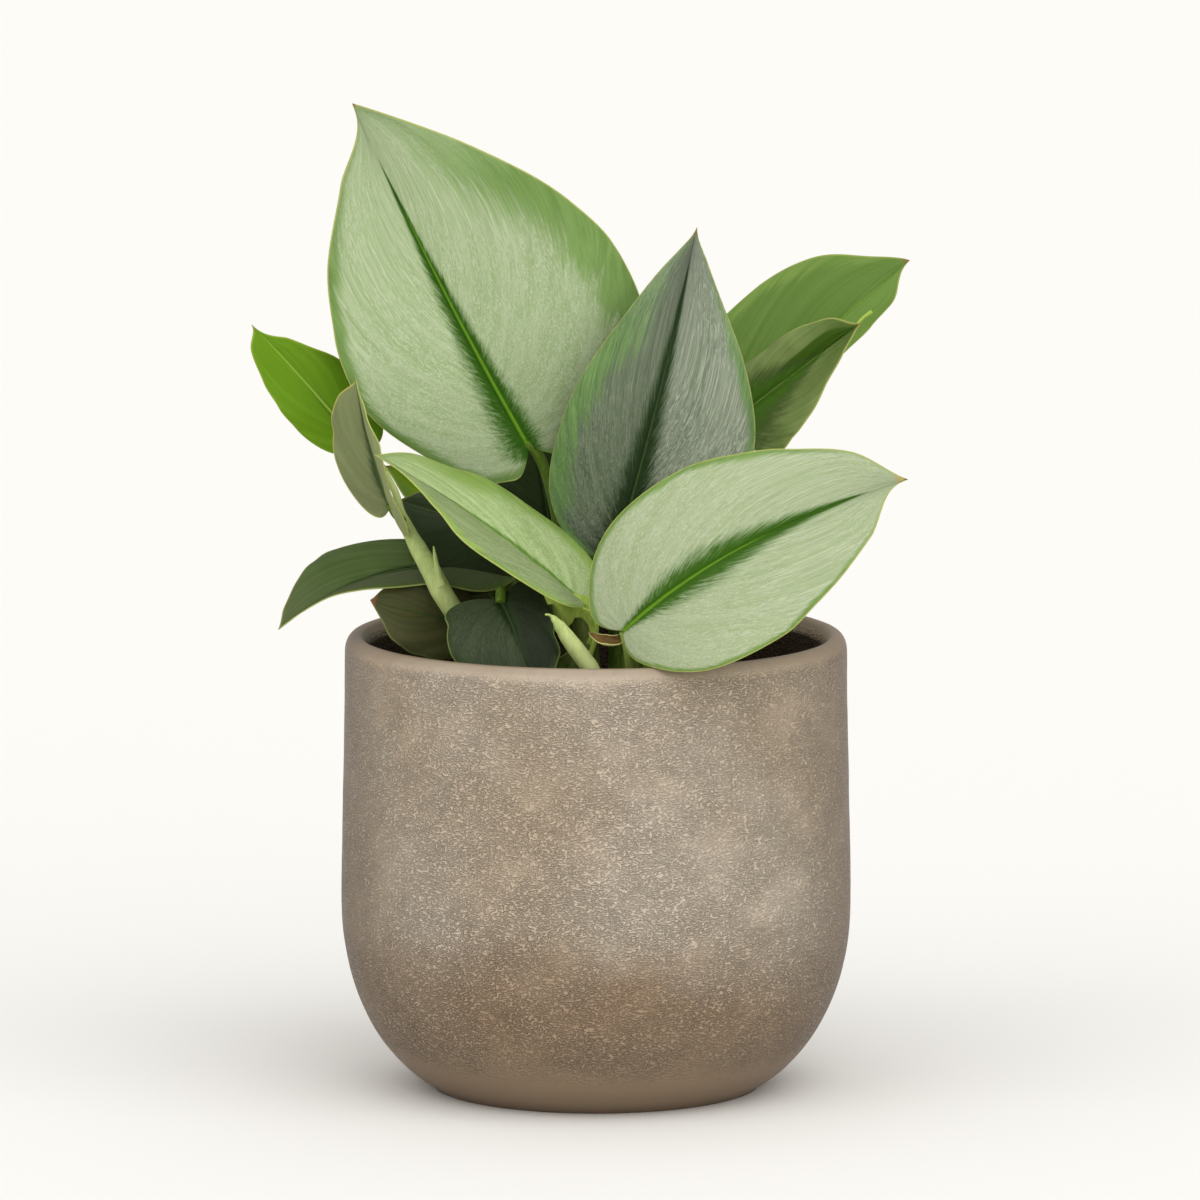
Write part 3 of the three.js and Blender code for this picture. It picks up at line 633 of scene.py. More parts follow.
def moonlight_group():
    """The markings of a blade: silver, feathering, margins, midrib, edge and tip."""
    group, given, result = new_group(
        "moonlight_markings",
        ("Silver", "Silver Shade", "Green", "Green Shade", "Feather", "Feather Core", "Midrib", "Edge",
         "Tip"),
        ("Left Silver", "Right Silver", "Left Light", "Right Light", "Base Light", "Left Margin",
         "Right Margin", "Left Lit Band", "Grain", "Scratches", "Right Feather", "Feather Width",
         "Feather Start", "Feather End", "Rib Width", "Rib End", "Edge Width", "Tip Length"),
        {"Color": "Color", "Height": "Float", "Roughness": "Float"})
    plus, minus, times, over = sums(group)
    ramp, mix, total = partial(ease, group), partial(blend, group), partial(mixed, group)
    blade, grain = read_attribute(group, "blade"), read_attribute(group, "grain")
    across, to_margin, along = add_node(group, "SeparateXYZ", {0: blade}).outputs
    to_tip = add_node(group, "SeparateXYZ", {0: grain}).outputs["Z"]
    distance = calc(group, "ABSOLUTE", across)
    right = calc(group, "GREATER_THAN", across, 0)

    def by_side(name):
        """The value given for the half of the blade that a place is on."""
        sides = {0: right, 2: given["Left " + name], 3: given["Right " + name]}
        return add_node(group, "Mix", sides).outputs[0]

    def over_zero(value):
        return calc(group, "MAXIMUM", value, 0)

    def shine(colour, factor):
        return add_node(group, "VectorMath", {0: colour, "Scale": factor}, operation="SCALE").outputs[0]

    def strands(across_scale, along_scale, detail=2, roughness=0.5):
        """Soft noise drawn out along the veins."""
        return speckle(group, stretch(group, grain, (across_scale, along_scale, 0)), 1, detail, roughness)

    def threads(across_scale, along_scale, width, distortion=0.0):
        """Thin lines that follow the veins, 1 on a line and 0 beside it."""
        field = add_node(group, "TexNoise", {
            "Vector": stretch(group, grain, (across_scale, along_scale, 0)), "Scale": 1, "Detail": 1,
            "Distortion": distortion}).outputs["Fac"]
        return over_zero(minus(1, over(calc(group, "ABSOLUTE", minus(field, 0.5)), width)))

    def fading(end):
        """1 at the base of the blade, falling evenly to 0 at the given length."""
        return over_zero(minus(1, over(over_zero(along), end)))

    fibre, hair, streak = strands(2.4, 0.25, 2, 0.6), strands(0.9, 0.1, 2, 0.6), strands(0.28, 0.025)
    patch = speckle(group, stretch(group, blade, (0.07, 0, 7)), 1, 1)
    scratch = times(threads(0.9, 0.5, 0.09, 1.6), given["Scratches"])
    fine = times(total((0.3, fibre), (0.3, hair), (-0.3, 1)), given["Grain"])
    texture = total((0.4, streak), (0.3, scratch), (-0.05, threads(0.5, 0.012, 0.03)), (1, fine), (0.31, 1))
    silver = mix(ramp(texture, 0.38, 0.74), given["Silver Shade"], given["Silver"])
    green_tone = total((0.35, streak), (0.35, hair), (0.3, patch))
    green = mix(ramp(green_tone, 0.38, 0.62), given["Green Shade"], given["Green"])
    green = mix(times(ramp(along, 0.6, 0.95), 0.55), green, silver)
    # Painted light and shade: each half's silver is made brighter or darker by its Light value, for how that
    # half faces the light
    silver = mix(by_side("Silver"), green, shine(silver, by_side("Light")))
    margin_width = times(by_side("Margin"), total((0.85, ramp(along, 1, 0.62)), (0.15, 1)))
    uneven = total((1.5, streak), (0.9, patch), (1.6, hair), (0.6, fibre), (-1.3, 1))
    colour = mix(ramp(minus(uneven, over(to_margin, margin_width)), -0.35, 0.55), silver, green)
    # Painted light: a pale strip of margin green along the left margin, narrowing towards the tip, for the
    # light on the raised edge of a rolled half
    band = minus(times(given["Left Lit Band"], minus(1, along)), to_margin)
    colour = mix(ramp(minus(band, times(right, 99)), -0.4, 0.4), colour, green)
    # Painted light and shade near the base: Base Light makes the colour there brighter or darker
    at_base = times(ramp(along, 0.35, -0.1), minus(given["Base Light"], 1))
    colour = shine(colour, plus(1, at_base))
    thinned = calc(group, "POWER", fading(given["Feather End"]), 1.3)
    spread = times(ramp(along, -0.08, given["Feather Start"]), thinned)
    reach = total((spread, given["Feather Width"]), (0.02, 1))
    reach = times(reach, minus(1, times(right, minus(1, given["Right Feather"]))))
    ragged = total((1.3, strands(0.75, 0.3, 3, 0.65)), (0.2, hair), (0.3, fibre), (-0.9, 1))
    inside = plus(over(distance, reach), ragged)
    feather = times(ramp(inside, 1.25, 0.35), ramp(reach, 0.05, 0.5))
    colour = mix(feather, colour, mix(ramp(inside, 0.8, 0.2), given["Feather"], given["Feather Core"]))
    rib_fade = fading(given["Rib End"])
    rib_width = times(given["Rib Width"], calc(group, "POWER", rib_fade, 0.7))
    rib = times(ramp(minus(rib_width, distance), -0.3, 0.3), ramp(rib_fade, 0, 0.15))
    colour = mix(rib, colour, given["Midrib"])
    colour = mix(ramp(minus(given["Edge Width"], to_margin), -0.2, 0.2), colour, given["Edge"])
    colour = mix(ramp(minus(given["Tip Length"], to_tip), -1.2, 0.8), colour, given["Tip"])
    feed(group, result["Color"], colour)
    feed(group, result["Height"], texture)
    feed(group, result["Roughness"], total((0.2, texture), (0.36, 1)))
    return group


moonlight = moonlight_group()


def blade_finish(name, **values):
    """The upper side of one blade: the shared markings with this leaf's colours and widths."""
    skin, tree, shader = new_material(name + "_upper", Specular_IOR_Level=0.12)
    look = use_group(tree, moonlight, {
        label.replace("_", " ").title(): (*value, 1) if isinstance(value, tuple) else value
        for label, value in values.items()})
    feed(tree, shader.inputs["Base Color"], look["Color"])
    feed(tree, shader.inputs["Roughness"], look["Roughness"])
    roughen(tree, shader, look["Height"], 0.00015)
    return skin


def fibrous_group():
    """Living green or husk between two tones, with faint lengthwise fibres."""
    group, given, result = new_group("fibrous", ("Dark", "Light"), (), {"Color": "Color", "Height": "Float"})
    place = add_node(group, "TexCoord", {}).outputs["Object"]
    fibres = speckle(group, stretch(group, place, (1, 1, 0.25)), 900, 3, 0.6)
    clouds = speckle(group, place, 60, 2)
    share = mixed(group, (0.5, fibres), (0.5, clouds))
    feed(group, result["Color"], blend(group, ease(group, share, 0.38, 0.62), given["Dark"], given["Light"]))
    feed(group, result["Height"], fibres)
    return group


fibrous = fibrous_group()


def plain_skin(name, dark, light, roughness=0.5):
    """The skin of a stalk, stem, shoot or husk between two tones."""
    skin, tree, shader = new_material(name, Roughness=roughness, Specular_IOR_Level=0.15)
    look = use_group(tree, fibrous, {"Dark": (*dark, 1), "Light": (*light, 1)})
    feed(tree, shader.inputs["Base Color"], look["Color"])
    roughen(tree, shader, look["Height"], 0.0001)
    return skin


def underside():
    """The plain lower side of all blades, paler along the raised midrib."""
    skin, tree, shader = new_material("blade_under", Roughness=0.5, Specular_IOR_Level=0.15)
    look = use_group(tree, fibrous, {"Dark": (0.15, 0.23, 0.065, 1), "Light": (0.185, 0.275, 0.09, 1)})
    blade = add_node(tree, "SeparateXYZ", {0: read_attribute(tree, "blade")})
    across = calc(tree, "ABSOLUTE", blade.outputs["X"])
    feed(tree, shader.inputs["Base Color"], blend(tree, ease(tree, across, 1.3, 0.5), look["Color"],
                                                  (0.27, 0.37, 0.13, 1)))
    return skin


blade_under = underside()
blade_edge = plain_skin("blade_edge", (0.34, 0.42, 0.1), (0.46, 0.52, 0.17))
stalk_skin = plain_skin("stalk_skin", (0.05, 0.1, 0.008), (0.11, 0.18, 0.02))
fresh_stalk_skin = plain_skin("fresh_stalk_skin", (0.2, 0.31, 0.05), (0.32, 0.42, 0.1))
wing_skin = plain_skin("wing_skin", (0.39, 0.54, 0.085), (0.52, 0.66, 0.135))


def grow_leaf(name, slot, finish, blade, stalk, radii, seed, grid=BLADE_GRID, skin=stalk_skin, strand=None,
              wing=None):
    """One leaf: blade and stalk in one mesh, in place of its node."""
    mesh = bmesh.new()
    blade.seed = seed
    add_blade(mesh, blade, *grid)
    add_tube(mesh, stalk, radii, 3)
    if strand:
        add_tube(mesh, *strand, 4)
    if wing:
        add_sheet(mesh, *wing, WING_THICKNESS, 4)
    skins = [blade_finish(name, **finish), blade_under, blade_edge, skin]
    piece = finish_piece(name + "_grown", mesh, skins + [wing_skin] * bool(strand or wing))
    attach(piece, "root")
    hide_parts(name)


def grow_leaves(leaves, slot, finish, first_seed):
    """All leaves of one kind; a leaf's own finish goes before the kind's."""
    for seed, (name, leaf) in enumerate(leaves.items(), first_seed):
        grow_leaf(name, slot, seed=seed, **{**leaf, "finish": {**finish, **leaf.get("finish", {})}})


SILVER_FINISH = dict(
    silver=(0.41, 0.49, 0.3), silver_shade=(0.27, 0.36, 0.165), green=(0.2, 0.32, 0.09),
    green_shade=(0.135, 0.24, 0.05), feather=(0.08, 0.165, 0.035), feather_core=(0.034, 0.105, 0.003),
    midrib=(0.13, 0.29, 0.012), edge=(0.45, 0.5, 0.13), tip=(0.4, 0.36, 0.1), left_silver=1,
    right_silver=1, left_light=1.05, right_light=1, base_light=1, left_margin=2, right_margin=4,
    left_lit_band=0, grain=1, scratches=1, right_feather=1, feather_width=8, feather_start=0.02,
    feather_end=0.9, rib_width=0.55, rib_end=0.75, edge_width=0.3, tip_length=1,
)
SILVER_LEAVES = {
    "leaf_tall_left": dict(
        finish=dict(left_light=1.13, right_light=1.05, green=(0.2, 0.325, 0.095),
            green_shade=(0.13, 0.235, 0.05), left_margin=3, right_margin=11, base_light=0.74,
            feather_width=9.5, right_feather=0.6, grain=0.8, feather=(0.065, 0.15, 0.022),
            feather_core=(0.024, 0.088, 0.001)),
        blade=Blade((-20, 3, 192), (-46, -2, 241), (-72, -10, 296), (40, 52), (0.05, -1, 0.3), rise=8,
            curl=22, widest=(0.32, 0.34), taper=(1.05, 0.95), lobe=(0.17, 0.2), pinch=(THIN_TIP,
            (0.08, 0)), swell=((-9, -9, -2, -0.5, 1, 0), (1.5, 2, 0.5, -0.5, -0.5, 0))),
        stalk=[(-10, 10, 158), (-12, 8, 172), (-15, 7, 184), (-18, 5, 190.5), (-21, 3.6, 193)],
        radii=(1.9, 1.6)),
    "leaf_front_right": dict(
        finish=dict(silver=(0.39, 0.45, 0.29), silver_shade=(0.28, 0.35, 0.18), left_light=1.1,
            right_light=1.12, base_light=0.92, grain=0.8, right_margin=1.5, feather_width=13.5,
            feather_start=0.45, feather_end=0.92, rib_end=0.6, tip=(0.5, 0.42, 0.14), tip_length=2.5),
        blade=Blade((8, -64, 146.5), (44, -71, 173), (91, -63, 191), (30, 29), (0.05, -1, 0.6), rise=6,
            curl=18, widest=(0.4, 0.44), taper=0.95, lobe=(0.14, 0.08), pinch=((0.05, 0.09), THIN_TIP),
            swell=((-2, 2, 1, 0.5, 1.5, 3.5), (-1.5, 1.5, 1, 0, 0.5, 0.5)), wave=0.15),
        stalk=[(11, -46, 103), (11, -52, 126), (10, -60, 139), (8.6, -63, 146)], radii=(2, 1.8),
        skin=fresh_stalk_skin),
    "leaf_front_centre": dict(
        finish=dict(silver=(0.42, 0.52, 0.26), silver_shade=(0.25, 0.36, 0.12), green=(0.28, 0.41, 0.1),
            green_shade=(0.17, 0.29, 0.05), base_light=1.2, feather_width=3.2, feather=(0.14, 0.25, 0.06),
            feather_core=(0.1, 0.2, 0.03), feather_start=0.4, left_light=0.74, right_light=1.08,
            right_margin=8),
        blade=Blade((-3, -40, 150.8), (-33, -42, 175.2), (-65, -44, 196), (20, 31), (0.5, -0.33, 0.8),
            rise=(12, 6), curl=18, widest=(0.4, 0.33), lobe=(0, 0.09), pinch=(THIN_TIP, (0.07, 0.28)),
            swell=((0, 0, 0.5, 1, -0.5, -3.5), (3.5, 5, 2.5, 0, -1, 1.5))),
        stalk=[(1, -38, 103), (-3, -38, 126), (-8.4, -38, 139), (-9, -38, 146), (-6.5, -38.5, 150),
            (-3.4, -40, 151.4)], radii=(2, 1.3), strand=([(-4, -40, 130), (-1, -41, 138),
            (0.2, -42.4, 144), (-1, -43.4, 148.7), (-6.2, -45, 151.1), (-10.6, -47, 153.3)], (0.9, 0.3)),
        wing=([(-19.9, -46, 159.3), (-15, -45, 157), (-10.6, -43, 155), (-6.2, -41, 154.1),
            (-1.7, -41, 153.2), (-15.5, -45, 154.7), (-12.8, -43, 148), (-8.7, -42, 144.1),
            (-7, -42, 145.6), (-6.2, -41.5, 147.2), (-4.1, -41, 147.1), (-2.2, -41, 144.9),
            (-1.6, -41, 142.2), (-2.9, -41, 139.4), (-1, -41, 138.6), (0.6, -41, 144), (-1.2, -41, 148.7)],
            [(0, 5, 1), (1, 5, 6, 2), (2, 6, 7, 8), (2, 8, 9, 3), (3, 9, 10, 4), (4, 10, 16),
            (10, 11, 15, 16), (11, 12, 14, 15), (12, 13, 14)])),
    "leaf_side_right": dict(
        blade=Blade((33, 24, 152), (49, 36, 160), (65, 52, 158), 15, (0.4, 0.2, 1), widest=0.38),
        stalk=[(27, 18, 103), (27, 18, 130), (28.4, 19.6, 145), (31.6, 22.6, 151), (34, 25, 152.6)],
        grid=HIDDEN_GRID, radii=(1.7, 1.4)),
    "leaf_back_left": dict(
        blade=Blade((-20, 44, 166), (-28, 72, 166), (-38, 98, 148), 19, (-0.3, 0.6, 1), rise=8, curl=25,
            widest=0.38),
        stalk=[(-4.6, 37.4, 157), (-10, 38, 160), (-17, 41.5, 164), (-20.4, 45.4, 166)], grid=HIDDEN_GRID,
        radii=(1.8, 1.5)),
    "leaf_back_centre": dict(
        blade=Blade((2, 50, 158), (6, 78, 155), (9, 100, 132), 21, (0.1, 0.7, 1), rise=8, curl=25,
            widest=0.38),
        stalk=[(5, 45, 103), (5.5, 47, 125), (4.5, 47.5, 147), (2, 49, 156.6), (2.2, 51.6, 158)],
        grid=HIDDEN_GRID, radii=(1.9, 1.6)),
}
grow_leaves(SILVER_LEAVES, "leaf_silver", SILVER_FINISH, 0)


# Slate leaves: of the same thick leathery build, with a thinner and darker silver over deep green, one
# upright in the middle, one folded along its midrib and one hanging inside the lip of the pot.
SLATE_FINISH = dict(
    SILVER_FINISH, silver=(0.37, 0.415, 0.315), silver_shade=(0.16, 0.2, 0.13), green=(0.15, 0.25, 0.085),
    green_shade=(0.09, 0.165, 0.05), feather=(0.05, 0.085, 0.035), feather_core=(0.022, 0.045, 0.014),
    midrib=(0.075, 0.13, 0.035), edge=(0.34, 0.4, 0.13), tip=(0.25, 0.17, 0.05), left_silver=0.85,
    left_light=0.5, rib_width=0.35, grain=0.7, scratches=1.2,
)
SLATE_LEAVES = {
    "leaf_tall_centre": dict(
        finish=dict(green=(0.19, 0.32, 0.11), green_shade=(0.11, 0.21, 0.065), left_margin=7.5,
            right_margin=2.5, feather_width=9, feather_end=0.97, tip=(0.42, 0.32, 0.1), tip_length=2,
            left_light=0.6, base_light=1.3, grain=0.35, scratches=2.4),
        blade=Blade((5, 4, 157), (18, -6, 206), (30, 2, 258), (26, 33), (0.05, -1, 0.25), rise=8, curl=22,
            widest=0.33, taper=1.15, lobe=(0.05, 0.1), pinch=((0.06, 0.25), (0.08, 0.33)),
            swell=((-2, 1.5, 0.5, 1, 1, 1.5), (0, 0, -0.5, 0.5, 0.5, 0))),
        stalk=[(7, 5, 103), (9, 7, 130), (8, 8, 145), (6, 6.5, 154), (5.6, 4.2, 158.5)], radii=(2, 1.7)),
    "leaf_folded_left": dict(
        finish=dict(silver=(0.3, 0.345, 0.15), silver_shade=(0.22, 0.26, 0.11), green=(0.19, 0.22, 0.1),
            green_shade=(0.14, 0.165, 0.07), left_light=0.68, feather=(0.09, 0.115, 0.045),
            feather_core=(0.05, 0.075, 0.025), feather_width=3.5, feather_start=0.3, feather_end=1,
            left_silver=1, edge=(0.42, 0.4, 0.1), left_margin=0.6, right_margin=0.6, scratches=0.3),
        blade=Blade((-61, -21, 177), (-67, -23, 197), (-71, -23, 216), (13, 7), (-0.45, -0.8, 0.1),
            rise=(15, 45), widest=0.45, lobe=(0.13, 0.24), pinch=((0.15, 0.92), (0.14, 0.92)),
            swell=((-1, -1, -1.5, -1, 1, 1.5), (4, -1, -1.5, -2, -2, -2.5))),
        stalk=[(-56, -19, 172), (-59, -19.8, 174.5), (-61.2, -21, 178.2)], radii=(1.3, 1.2)),
    "leaf_rim_centre": dict(
        # Painted shade: this leaf's colours are far darker than the other slate leaves, for the shade where
        # it hangs inside the lip
        finish=dict(silver=(0.054, 0.075, 0.036), silver_shade=(0.03, 0.044, 0.018),
            green=(0.04, 0.065, 0.02), green_shade=(0.02, 0.035, 0.008), feather=(0.025, 0.045, 0.014),
            feather_core=(0.012, 0.025, 0.006), midrib=(0.04, 0.065, 0.018), edge=(0.17, 0.24, 0.07),
            left_silver=1, left_margin=1.5, right_margin=1.5, feather_width=4, scratches=0.6),
        blade=Blade((-28, -42, 152), (-23, -50, 142), (-16, -56, 123), (15, 21), (0, -1, 0.6), rise=6,
            curl=25, widest=0.42, lobe=(0.26, 0.34), swell=((7, 0, -2.5, -3, 0, 0),
            (4, -1, -1, -1, -0.5, -0.5))),
        stalk=[(-24, -33, 103), (-25, -35, 131), (-26, -36, 146), (-27.2, -37.5, 153),
            (-27.9, -40.4, 154.9), (-28.1, -43, 151.8)], radii=(1.8, 1.5)),
}
grow_leaves(SLATE_LEAVES, "leaf_slate", SLATE_FINISH, len(SILVER_LEAVES))


# Bright leaves: younger blades, smooth and fresh green with hardly any silver, thin pale edges and a
# clear midrib. One is rolled lengthwise, so that its left half stands up as a gutter.
BRIGHT_FINISH = dict(
    SILVER_FINISH, silver=(0.175, 0.285, 0.07), silver_shade=(0.115, 0.21, 0.035),
    green=(0.14, 0.26, 0.035), green_shade=(0.105, 0.215, 0.022), feather=(0.09, 0.19, 0.02),
    feather_core=(0.06, 0.15, 0.01), midrib=(0.2, 0.37, 0.03), edge=(0.3, 0.37, 0.08),
    tip=(0.24, 0.17, 0.05), feather_width=2.2, rib_width=0.5, rib_end=1, grain=0.35, scratches=0.15,
)
BRIGHT_LEAVES = {
    "leaf_rear_right": dict(
        finish=dict(green=(0.2, 0.32, 0.07), green_shade=(0.15, 0.26, 0.045), left_light=1,
            right_light=1.2, base_light=1.45, left_margin=4, right_margin=5, midrib=(0.18, 0.34, 0.03),
            tip_length=1.6),
        blade=Blade((31, 42, 189), (64, 38, 218), (94, 30, 245), (26, 12), (-0.1, -1, 0.55), widest=0.5,
            taper=(0.9, 0.7), lobe=(0.17, 0.1), pinch=((0.08, 0), THIN_TIP),
            swell=((0, 0, -1, -1, -0.5, -1), (-1, -1.5, -2.5, -5, -2.5, 1))),
        stalk=[(9, 24, 103), (12, 30, 128), (18, 37, 152), (27, 42.5, 181), (32, 42.4, 190)],
        radii=(2, 1.7)),
    "leaf_rolled_right": dict(
        # Painted light and shade: the pale left strip is painted light; the near-black silver of the left
        # half, the wide dark feather and the darker base are painted shade inside the gutter
        finish=dict(silver=(0.06, 0.125, 0.008), silver_shade=(0.035, 0.085, 0.004),
            green=(0.21, 0.285, 0.09), green_shade=(0.14, 0.195, 0.055), right_silver=0.12, base_light=0.8,
            left_light=1, left_lit_band=20, midrib=(0.16, 0.25, 0.06), left_margin=0.5, right_margin=2,
            edge=(0.34, 0.37, 0.1), feather=(0.05, 0.08, 0.02), feather_width=20, feather_end=0.8),
        blade=Blade((38, 22, 195), (58, 20, 211), (79, 13, 228), (14, 18), (0.2, -1, 0.5), rise=(50, 25),
            curl=(115, 10), widest=(0.45, 0.32), taper=(0.8, 1.1), lobe=(0.1, 0),
            swell=((0, -0.5, -0.5, -1, 0.5, 1.5), (1, 1.5, -1, -1.5, -2, -0.5))),
        stalk=[(13, 12, 103), (16, 17, 132), (23, 22, 161), (34, 23.5, 190), (39, 22.6, 196)],
        radii=(2, 1.7), strand=([(77, 14, 226.6), (79.6, 13, 229.6), (82.2, 12.2, 231.6)], (0.35, 0.5))),
    "leaf_bright_left": dict(
        finish=dict(silver=(0.15, 0.3, 0.01), silver_shade=(0.11, 0.235, 0.007), green=(0.15, 0.3, 0.012),
            green_shade=(0.11, 0.23, 0.008), edge=(0.26, 0.38, 0.03), midrib=(0.3, 0.48, 0.05), grain=0.2),
        blade=Blade((-70, 6, 191), (-84, 0, 209), (-102, -8, 230), (12, 14), (-0.2, -1, 0.5), curl=15,
            lobe=(0, 0.1), pinch=(BLUNT_TIP, THIN_TIP), swell=((-1.5, -1.5, -1, 0.5, 2, 3),
            (0, -0.5, -0.5, -1, -1.5, -1))),
        stalk=[(-59.5, -13, 180.5), (-64, -4, 187.5), (-68, 4, 189), (-71, 6, 192)], radii=(1, 1.1),
        skin=fresh_stalk_skin),
    "leaf_inner_bright": dict(
        finish=dict(silver=(0.22, 0.35, 0.015), silver_shade=(0.15, 0.26, 0.01)),
        blade=Blade((-41, 14, 175), (-51, 14, 179), (-63, 14, 185), 8, (0, -1, 0.5)),
        stalk=[(-18, 20, 103), (-20, 20, 137), (-27, 20, 161), (-37, 16, 173), (-42, 14, 176)],
        grid=HIDDEN_GRID, radii=(1.8, 1.3)),
    "leaf_back_right": dict(
        blade=Blade((17, 50, 166), (28, 73, 168), (38, 95, 155), 17, (0.3, 0.5, 1), rise=8, curl=25,
            widest=0.38),
        stalk=[(19, 42, 103), (19, 46, 130), (18.8, 47.6, 155), (18.4, 48.6, 164), (18, 51.6, 166)],
        grid=HIDDEN_GRID, radii=(1.8, 1.5)),
}
grow_leaves(BRIGHT_LEAVES, "leaf_bright", BRIGHT_FINISH, len(SILVER_LEAVES) + len(SLATE_LEAVES))


# Deep leaves: glossy dark green blades with little silver that grow low down and in the shade of the
# others. The low left one is half folded, the one beside it is old and browned at its tip.
DEEP_FINISH = dict(
    SILVER_FINISH, silver=(0.055, 0.085, 0.03), silver_shade=(0.03, 0.05, 0.014),
    green=(0.045, 0.075, 0.02), green_shade=(0.022, 0.04, 0.008), feather=(0.02, 0.04, 0.01),
    feather_core=(0.01, 0.025, 0.004), midrib=(0.06, 0.1, 0.025), edge=(0.14, 0.18, 0.045),
    tip=(0.1, 0.06, 0.02), feather_width=2.5, rib_width=0.3, rib_end=1, left_light=1, left_margin=1.5,
    right_margin=1.5, grain=0.5, scratches=0.2,
)
DEEP_LEAVES = {
    "leaf_low_left": dict(
        finish=dict(silver=(0.125, 0.155, 0.068), silver_shade=(0.095, 0.12, 0.05),
            green=(0.074, 0.115, 0.03), green_shade=(0.05, 0.083, 0.018), left_light=0.64, right_silver=0,
            base_light=1.6, edge=(0.26, 0.28, 0.09), tip=(0.26, 0.22, 0.08)),
        blade=Blade((-32, -8, 157), (-66, -14, 155.5), (-94, -24, 141), (12, 15), (-0.25, -0.55, 0.8),
            rise=16, widest=(0.25, 0.55), taper=(1.4, 0.95), lobe=(0.21, 0), pinch=(THIN_TIP,
            (0.08, 0.32)), swell=((-2, 1.5, -2.5, -2.5, -2.5, -4.5), (-4, -5, 4, 1.5, 0.5, 0))),
        stalk=[(-24, 0, 103), (-25.5, 0, 134), (-30.5, -2, 147), (-29.4, -4, 153.6), (-31.2, -7, 157),
            (-33.5, -8.2, 157.4)], radii=(1.9, 1.8)),
    "leaf_rim_left": dict(
        finish=dict(silver=(0.1, 0.098, 0.036), silver_shade=(0.055, 0.062, 0.02),
            green=(0.075, 0.075, 0.025), green_shade=(0.045, 0.052, 0.015), tip=(0.26, 0.12, 0.04),
            tip_length=1.8, feather_width=1, grain=0.2),
        blade=Blade((-35, -12, 138), (-51, -19, 145), (-67, -18, 149), (14, 10), (-0.2, -1, 0.5), curl=15,
            lobe=(0, 0.1), pinch=((0.08, 0), (0.08, 0.04)), swell=((-1, -2, -1.5, 0, 1, 0),
            (7, 6, 2, 0.5, 0.5, 1.5))),
        stalk=[(-30, -3, 103), (-31, -5, 124), (-33, -9, 134), (-36, -12.2, 138.6)], radii=(1.6, 1.4)),
    "leaf_inner_left": dict(
        finish=dict(left_light=0.6, right_light=0.6),
        blade=Blade((-35, -4, 171), (-46, -4, 173), (-59, -4, 177), (13, 10), (0, -1, 0.5),
            lobe=(0.5, 0.1), swell=((12, 12, 4, 0), (0,))),
        stalk=[(-22, 9, 103), (-23.6, 9, 139), (-25.6, 7, 150), (-28.4, 3, 161), (-33, -2, 169.5),
            (-36.4, -4.2, 171.4)], grid=HIDDEN_GRID, radii=(1.9, 1.7)),
    "leaf_inner_front": dict(
        finish=dict(silver=(0.12, 0.17, 0.04), silver_shade=(0.08, 0.12, 0.02)),
        blade=Blade((-12, -42, 121), (-10, -46, 129), (-6, -46, 139), 7, (0.3, -1, 0.3)),
        stalk=[(-14, -38, 103), (-13.4, -39.5, 114), (-11.8, -42.2, 122)], grid=HIDDEN_GRID,
        radii=(1.4, 1.3)),
    "leaf_side_left": dict(
        blade=Blade((-36, 26, 150), (-46, 37, 153), (-60, 49, 147), 11, (-0.4, 0.3, 1), widest=0.38),
        stalk=[(-24, 28, 103), (-25, 27, 128), (-29, 25, 144), (-34, 25, 149.6), (-37, 27, 150.2)],
        grid=HIDDEN_GRID, radii=(1.7, 1.4)),
    "leaf_back_upright": dict(
        blade=Blade((-14, 29.5, 163), (-19, 33.5, 190), (-30, 46.5, 222), 25, (0.1, -1, 0.3), rise=8,
            curl=25, widest=0.38),
        stalk=[(-4.2, 36.6, 144), (-7, 33.6, 151), (-11.4, 30.6, 159), (-14.4, 30.2, 165)],
        grid=HIDDEN_GRID, radii=(1.8, 1.5)),
}
leaves_before = len(SILVER_LEAVES) + len(SLATE_LEAVES) + len(BRIGHT_LEAVES)
grow_leaves(DEEP_LEAVES, "leaf_deep", DEEP_FINISH, leaves_before)


# Vine stems: smooth green climbing stems that root in the soil, a little swollen at each joint where a
# leaf grew or grows. The left one keeps a scrap of papery sheath at a joint.
VINES = {
    "vine_left": dict(
        path=[(-28, -14, 100), (-29, -15, 114), (-34, -21, 134), (-39.5, -24, 142), (-42.9, -25.2, 148),
            (-45.9, -25, 152.9), (-48.8, -24, 158.6), (-52, -22.4, 164), (-55.3, -20, 169.7),
            (-58, -16.5, 175.5), (-59.5, -13, 180.5), (-62.4, -7.4, 185.6)],
        radii=(2.6, 2.6, 2.5, 2.5, 3.1, 3.2, 3, 2.7, 2.1, 1.4, 1.1, 0.8), scrap=([(-45.6, -27, 154.5),
            (-46.6, -26.6, 158), (-47.4, -25.6, 162), (-48, -24.6, 166)], (1.6, 0.25))),
    "vine_centre": dict(
        path=[(-2, 12, 100), (-3, 12, 114), (-4, 12, 133), (-8, 12, 148), (-10, 10, 159)],
        radii=(2.7, 2.2)),
    "vine_back": dict(
        path=[(0, 38, 100), (-2, 38, 130), (-4, 38, 150), (-6, 36, 166)], radii=(2.8, 2.2)),
}
vine_skin = plain_skin("vine_skin", (0.37, 0.46, 0.16), (0.49, 0.56, 0.22))
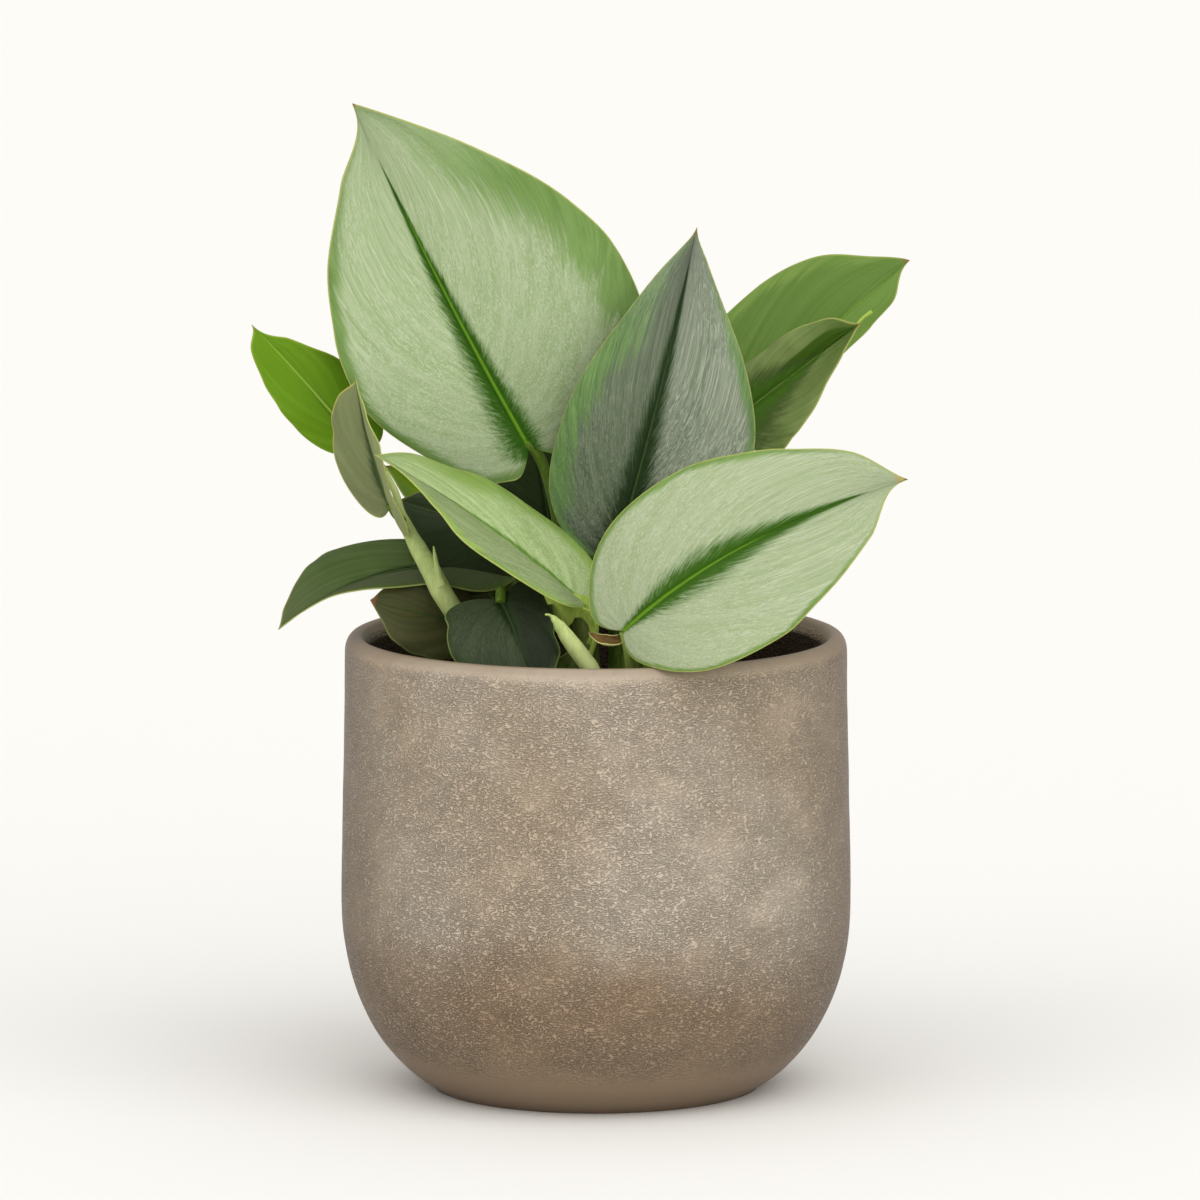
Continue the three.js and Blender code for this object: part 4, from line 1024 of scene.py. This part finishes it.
# Painted shade: the centre and back vines, deep among the leaves, are coloured dark green for the shade they
# stand in
painted_shade_vine_skin = plain_skin("painted_shade_vine_skin", (0.06, 0.09, 0.015), (0.12, 0.16, 0.03))
for name, vine in VINES.items():
    mesh = bmesh.new()
    add_tube(mesh, vine["path"], vine["radii"], 0, steps=16, sides=6)
    if "scrap" in vine:
        add_tube(mesh, *vine["scrap"], 0, steps=8, sides=6)
    piece = finish_piece(name + "_grown", mesh, [vine_skin if name == "vine_left" else painted_shade_vine_skin])
    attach(piece, "root")
    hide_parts(name)


# New shoot: a young leaf still rolled into a pale fleshy spear that ends in a thin drying thread. It
# grows out of the soil in front of the other stalks.
SHOOT_PATH = [(8, -55, 103), (4, -56, 120), (-1.1, -56, 133.1), (-3.2, -56, 136.4), (-5.8, -56.3, 140),
              (-8.2, -56.6, 143.3), (-10.2, -56.8, 146.3), (-12, -57, 148.7), (-13.4, -57.2, 150.1),
              (-14.9, -57.5, 150.4)]
SHOOT_RADII = (2, 2.4, 2.6, 2.6, 2.55, 2.3, 1.85, 1.1, 0.4, 0.3)
shoot_mesh = bmesh.new()
add_tube(shoot_mesh, SHOOT_PATH, SHOOT_RADII, 0, steps=12, sides=8)
shoot_skin = plain_skin("shoot_skin", (0.36, 0.47, 0.14), (0.52, 0.6, 0.24))
shoot = finish_piece("rolled_shoot", shoot_mesh, [shoot_skin])
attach(shoot, "root")
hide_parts("new_shoot")


# Dry sheath: the papery husk that clasps the foot of the front right leaf. It has dried yellow-brown and
# split open; its inside is painted dark brown, partly its own colour and partly painted shade in the slit.
SHEATH = Blade((9, -61.2, 144.4), (3.6, -60.6, 142.6), (-2.2, -58.6, 145.4), 2.5, (0, -0.9, 0.6), rise=20,
    curl=-60, widest=0.45, taper=0.8, lobe=0.02, wave=0.1)
husk_mesh = bmesh.new()
add_blade(husk_mesh, SHEATH, 24, 8)
husk_inside = plain_skin("husk_inside", (0.05, 0.02, 0.008), (0.16, 0.1, 0.03), 0.7)
husk_skin = plain_skin("husk_skin", (0.36, 0.33, 0.1), (0.52, 0.5, 0.2), 0.7)
husk = finish_piece("dry_husk", husk_mesh, [husk_inside, husk_skin, husk_skin])
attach(husk, "root")
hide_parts("dry_sheath")
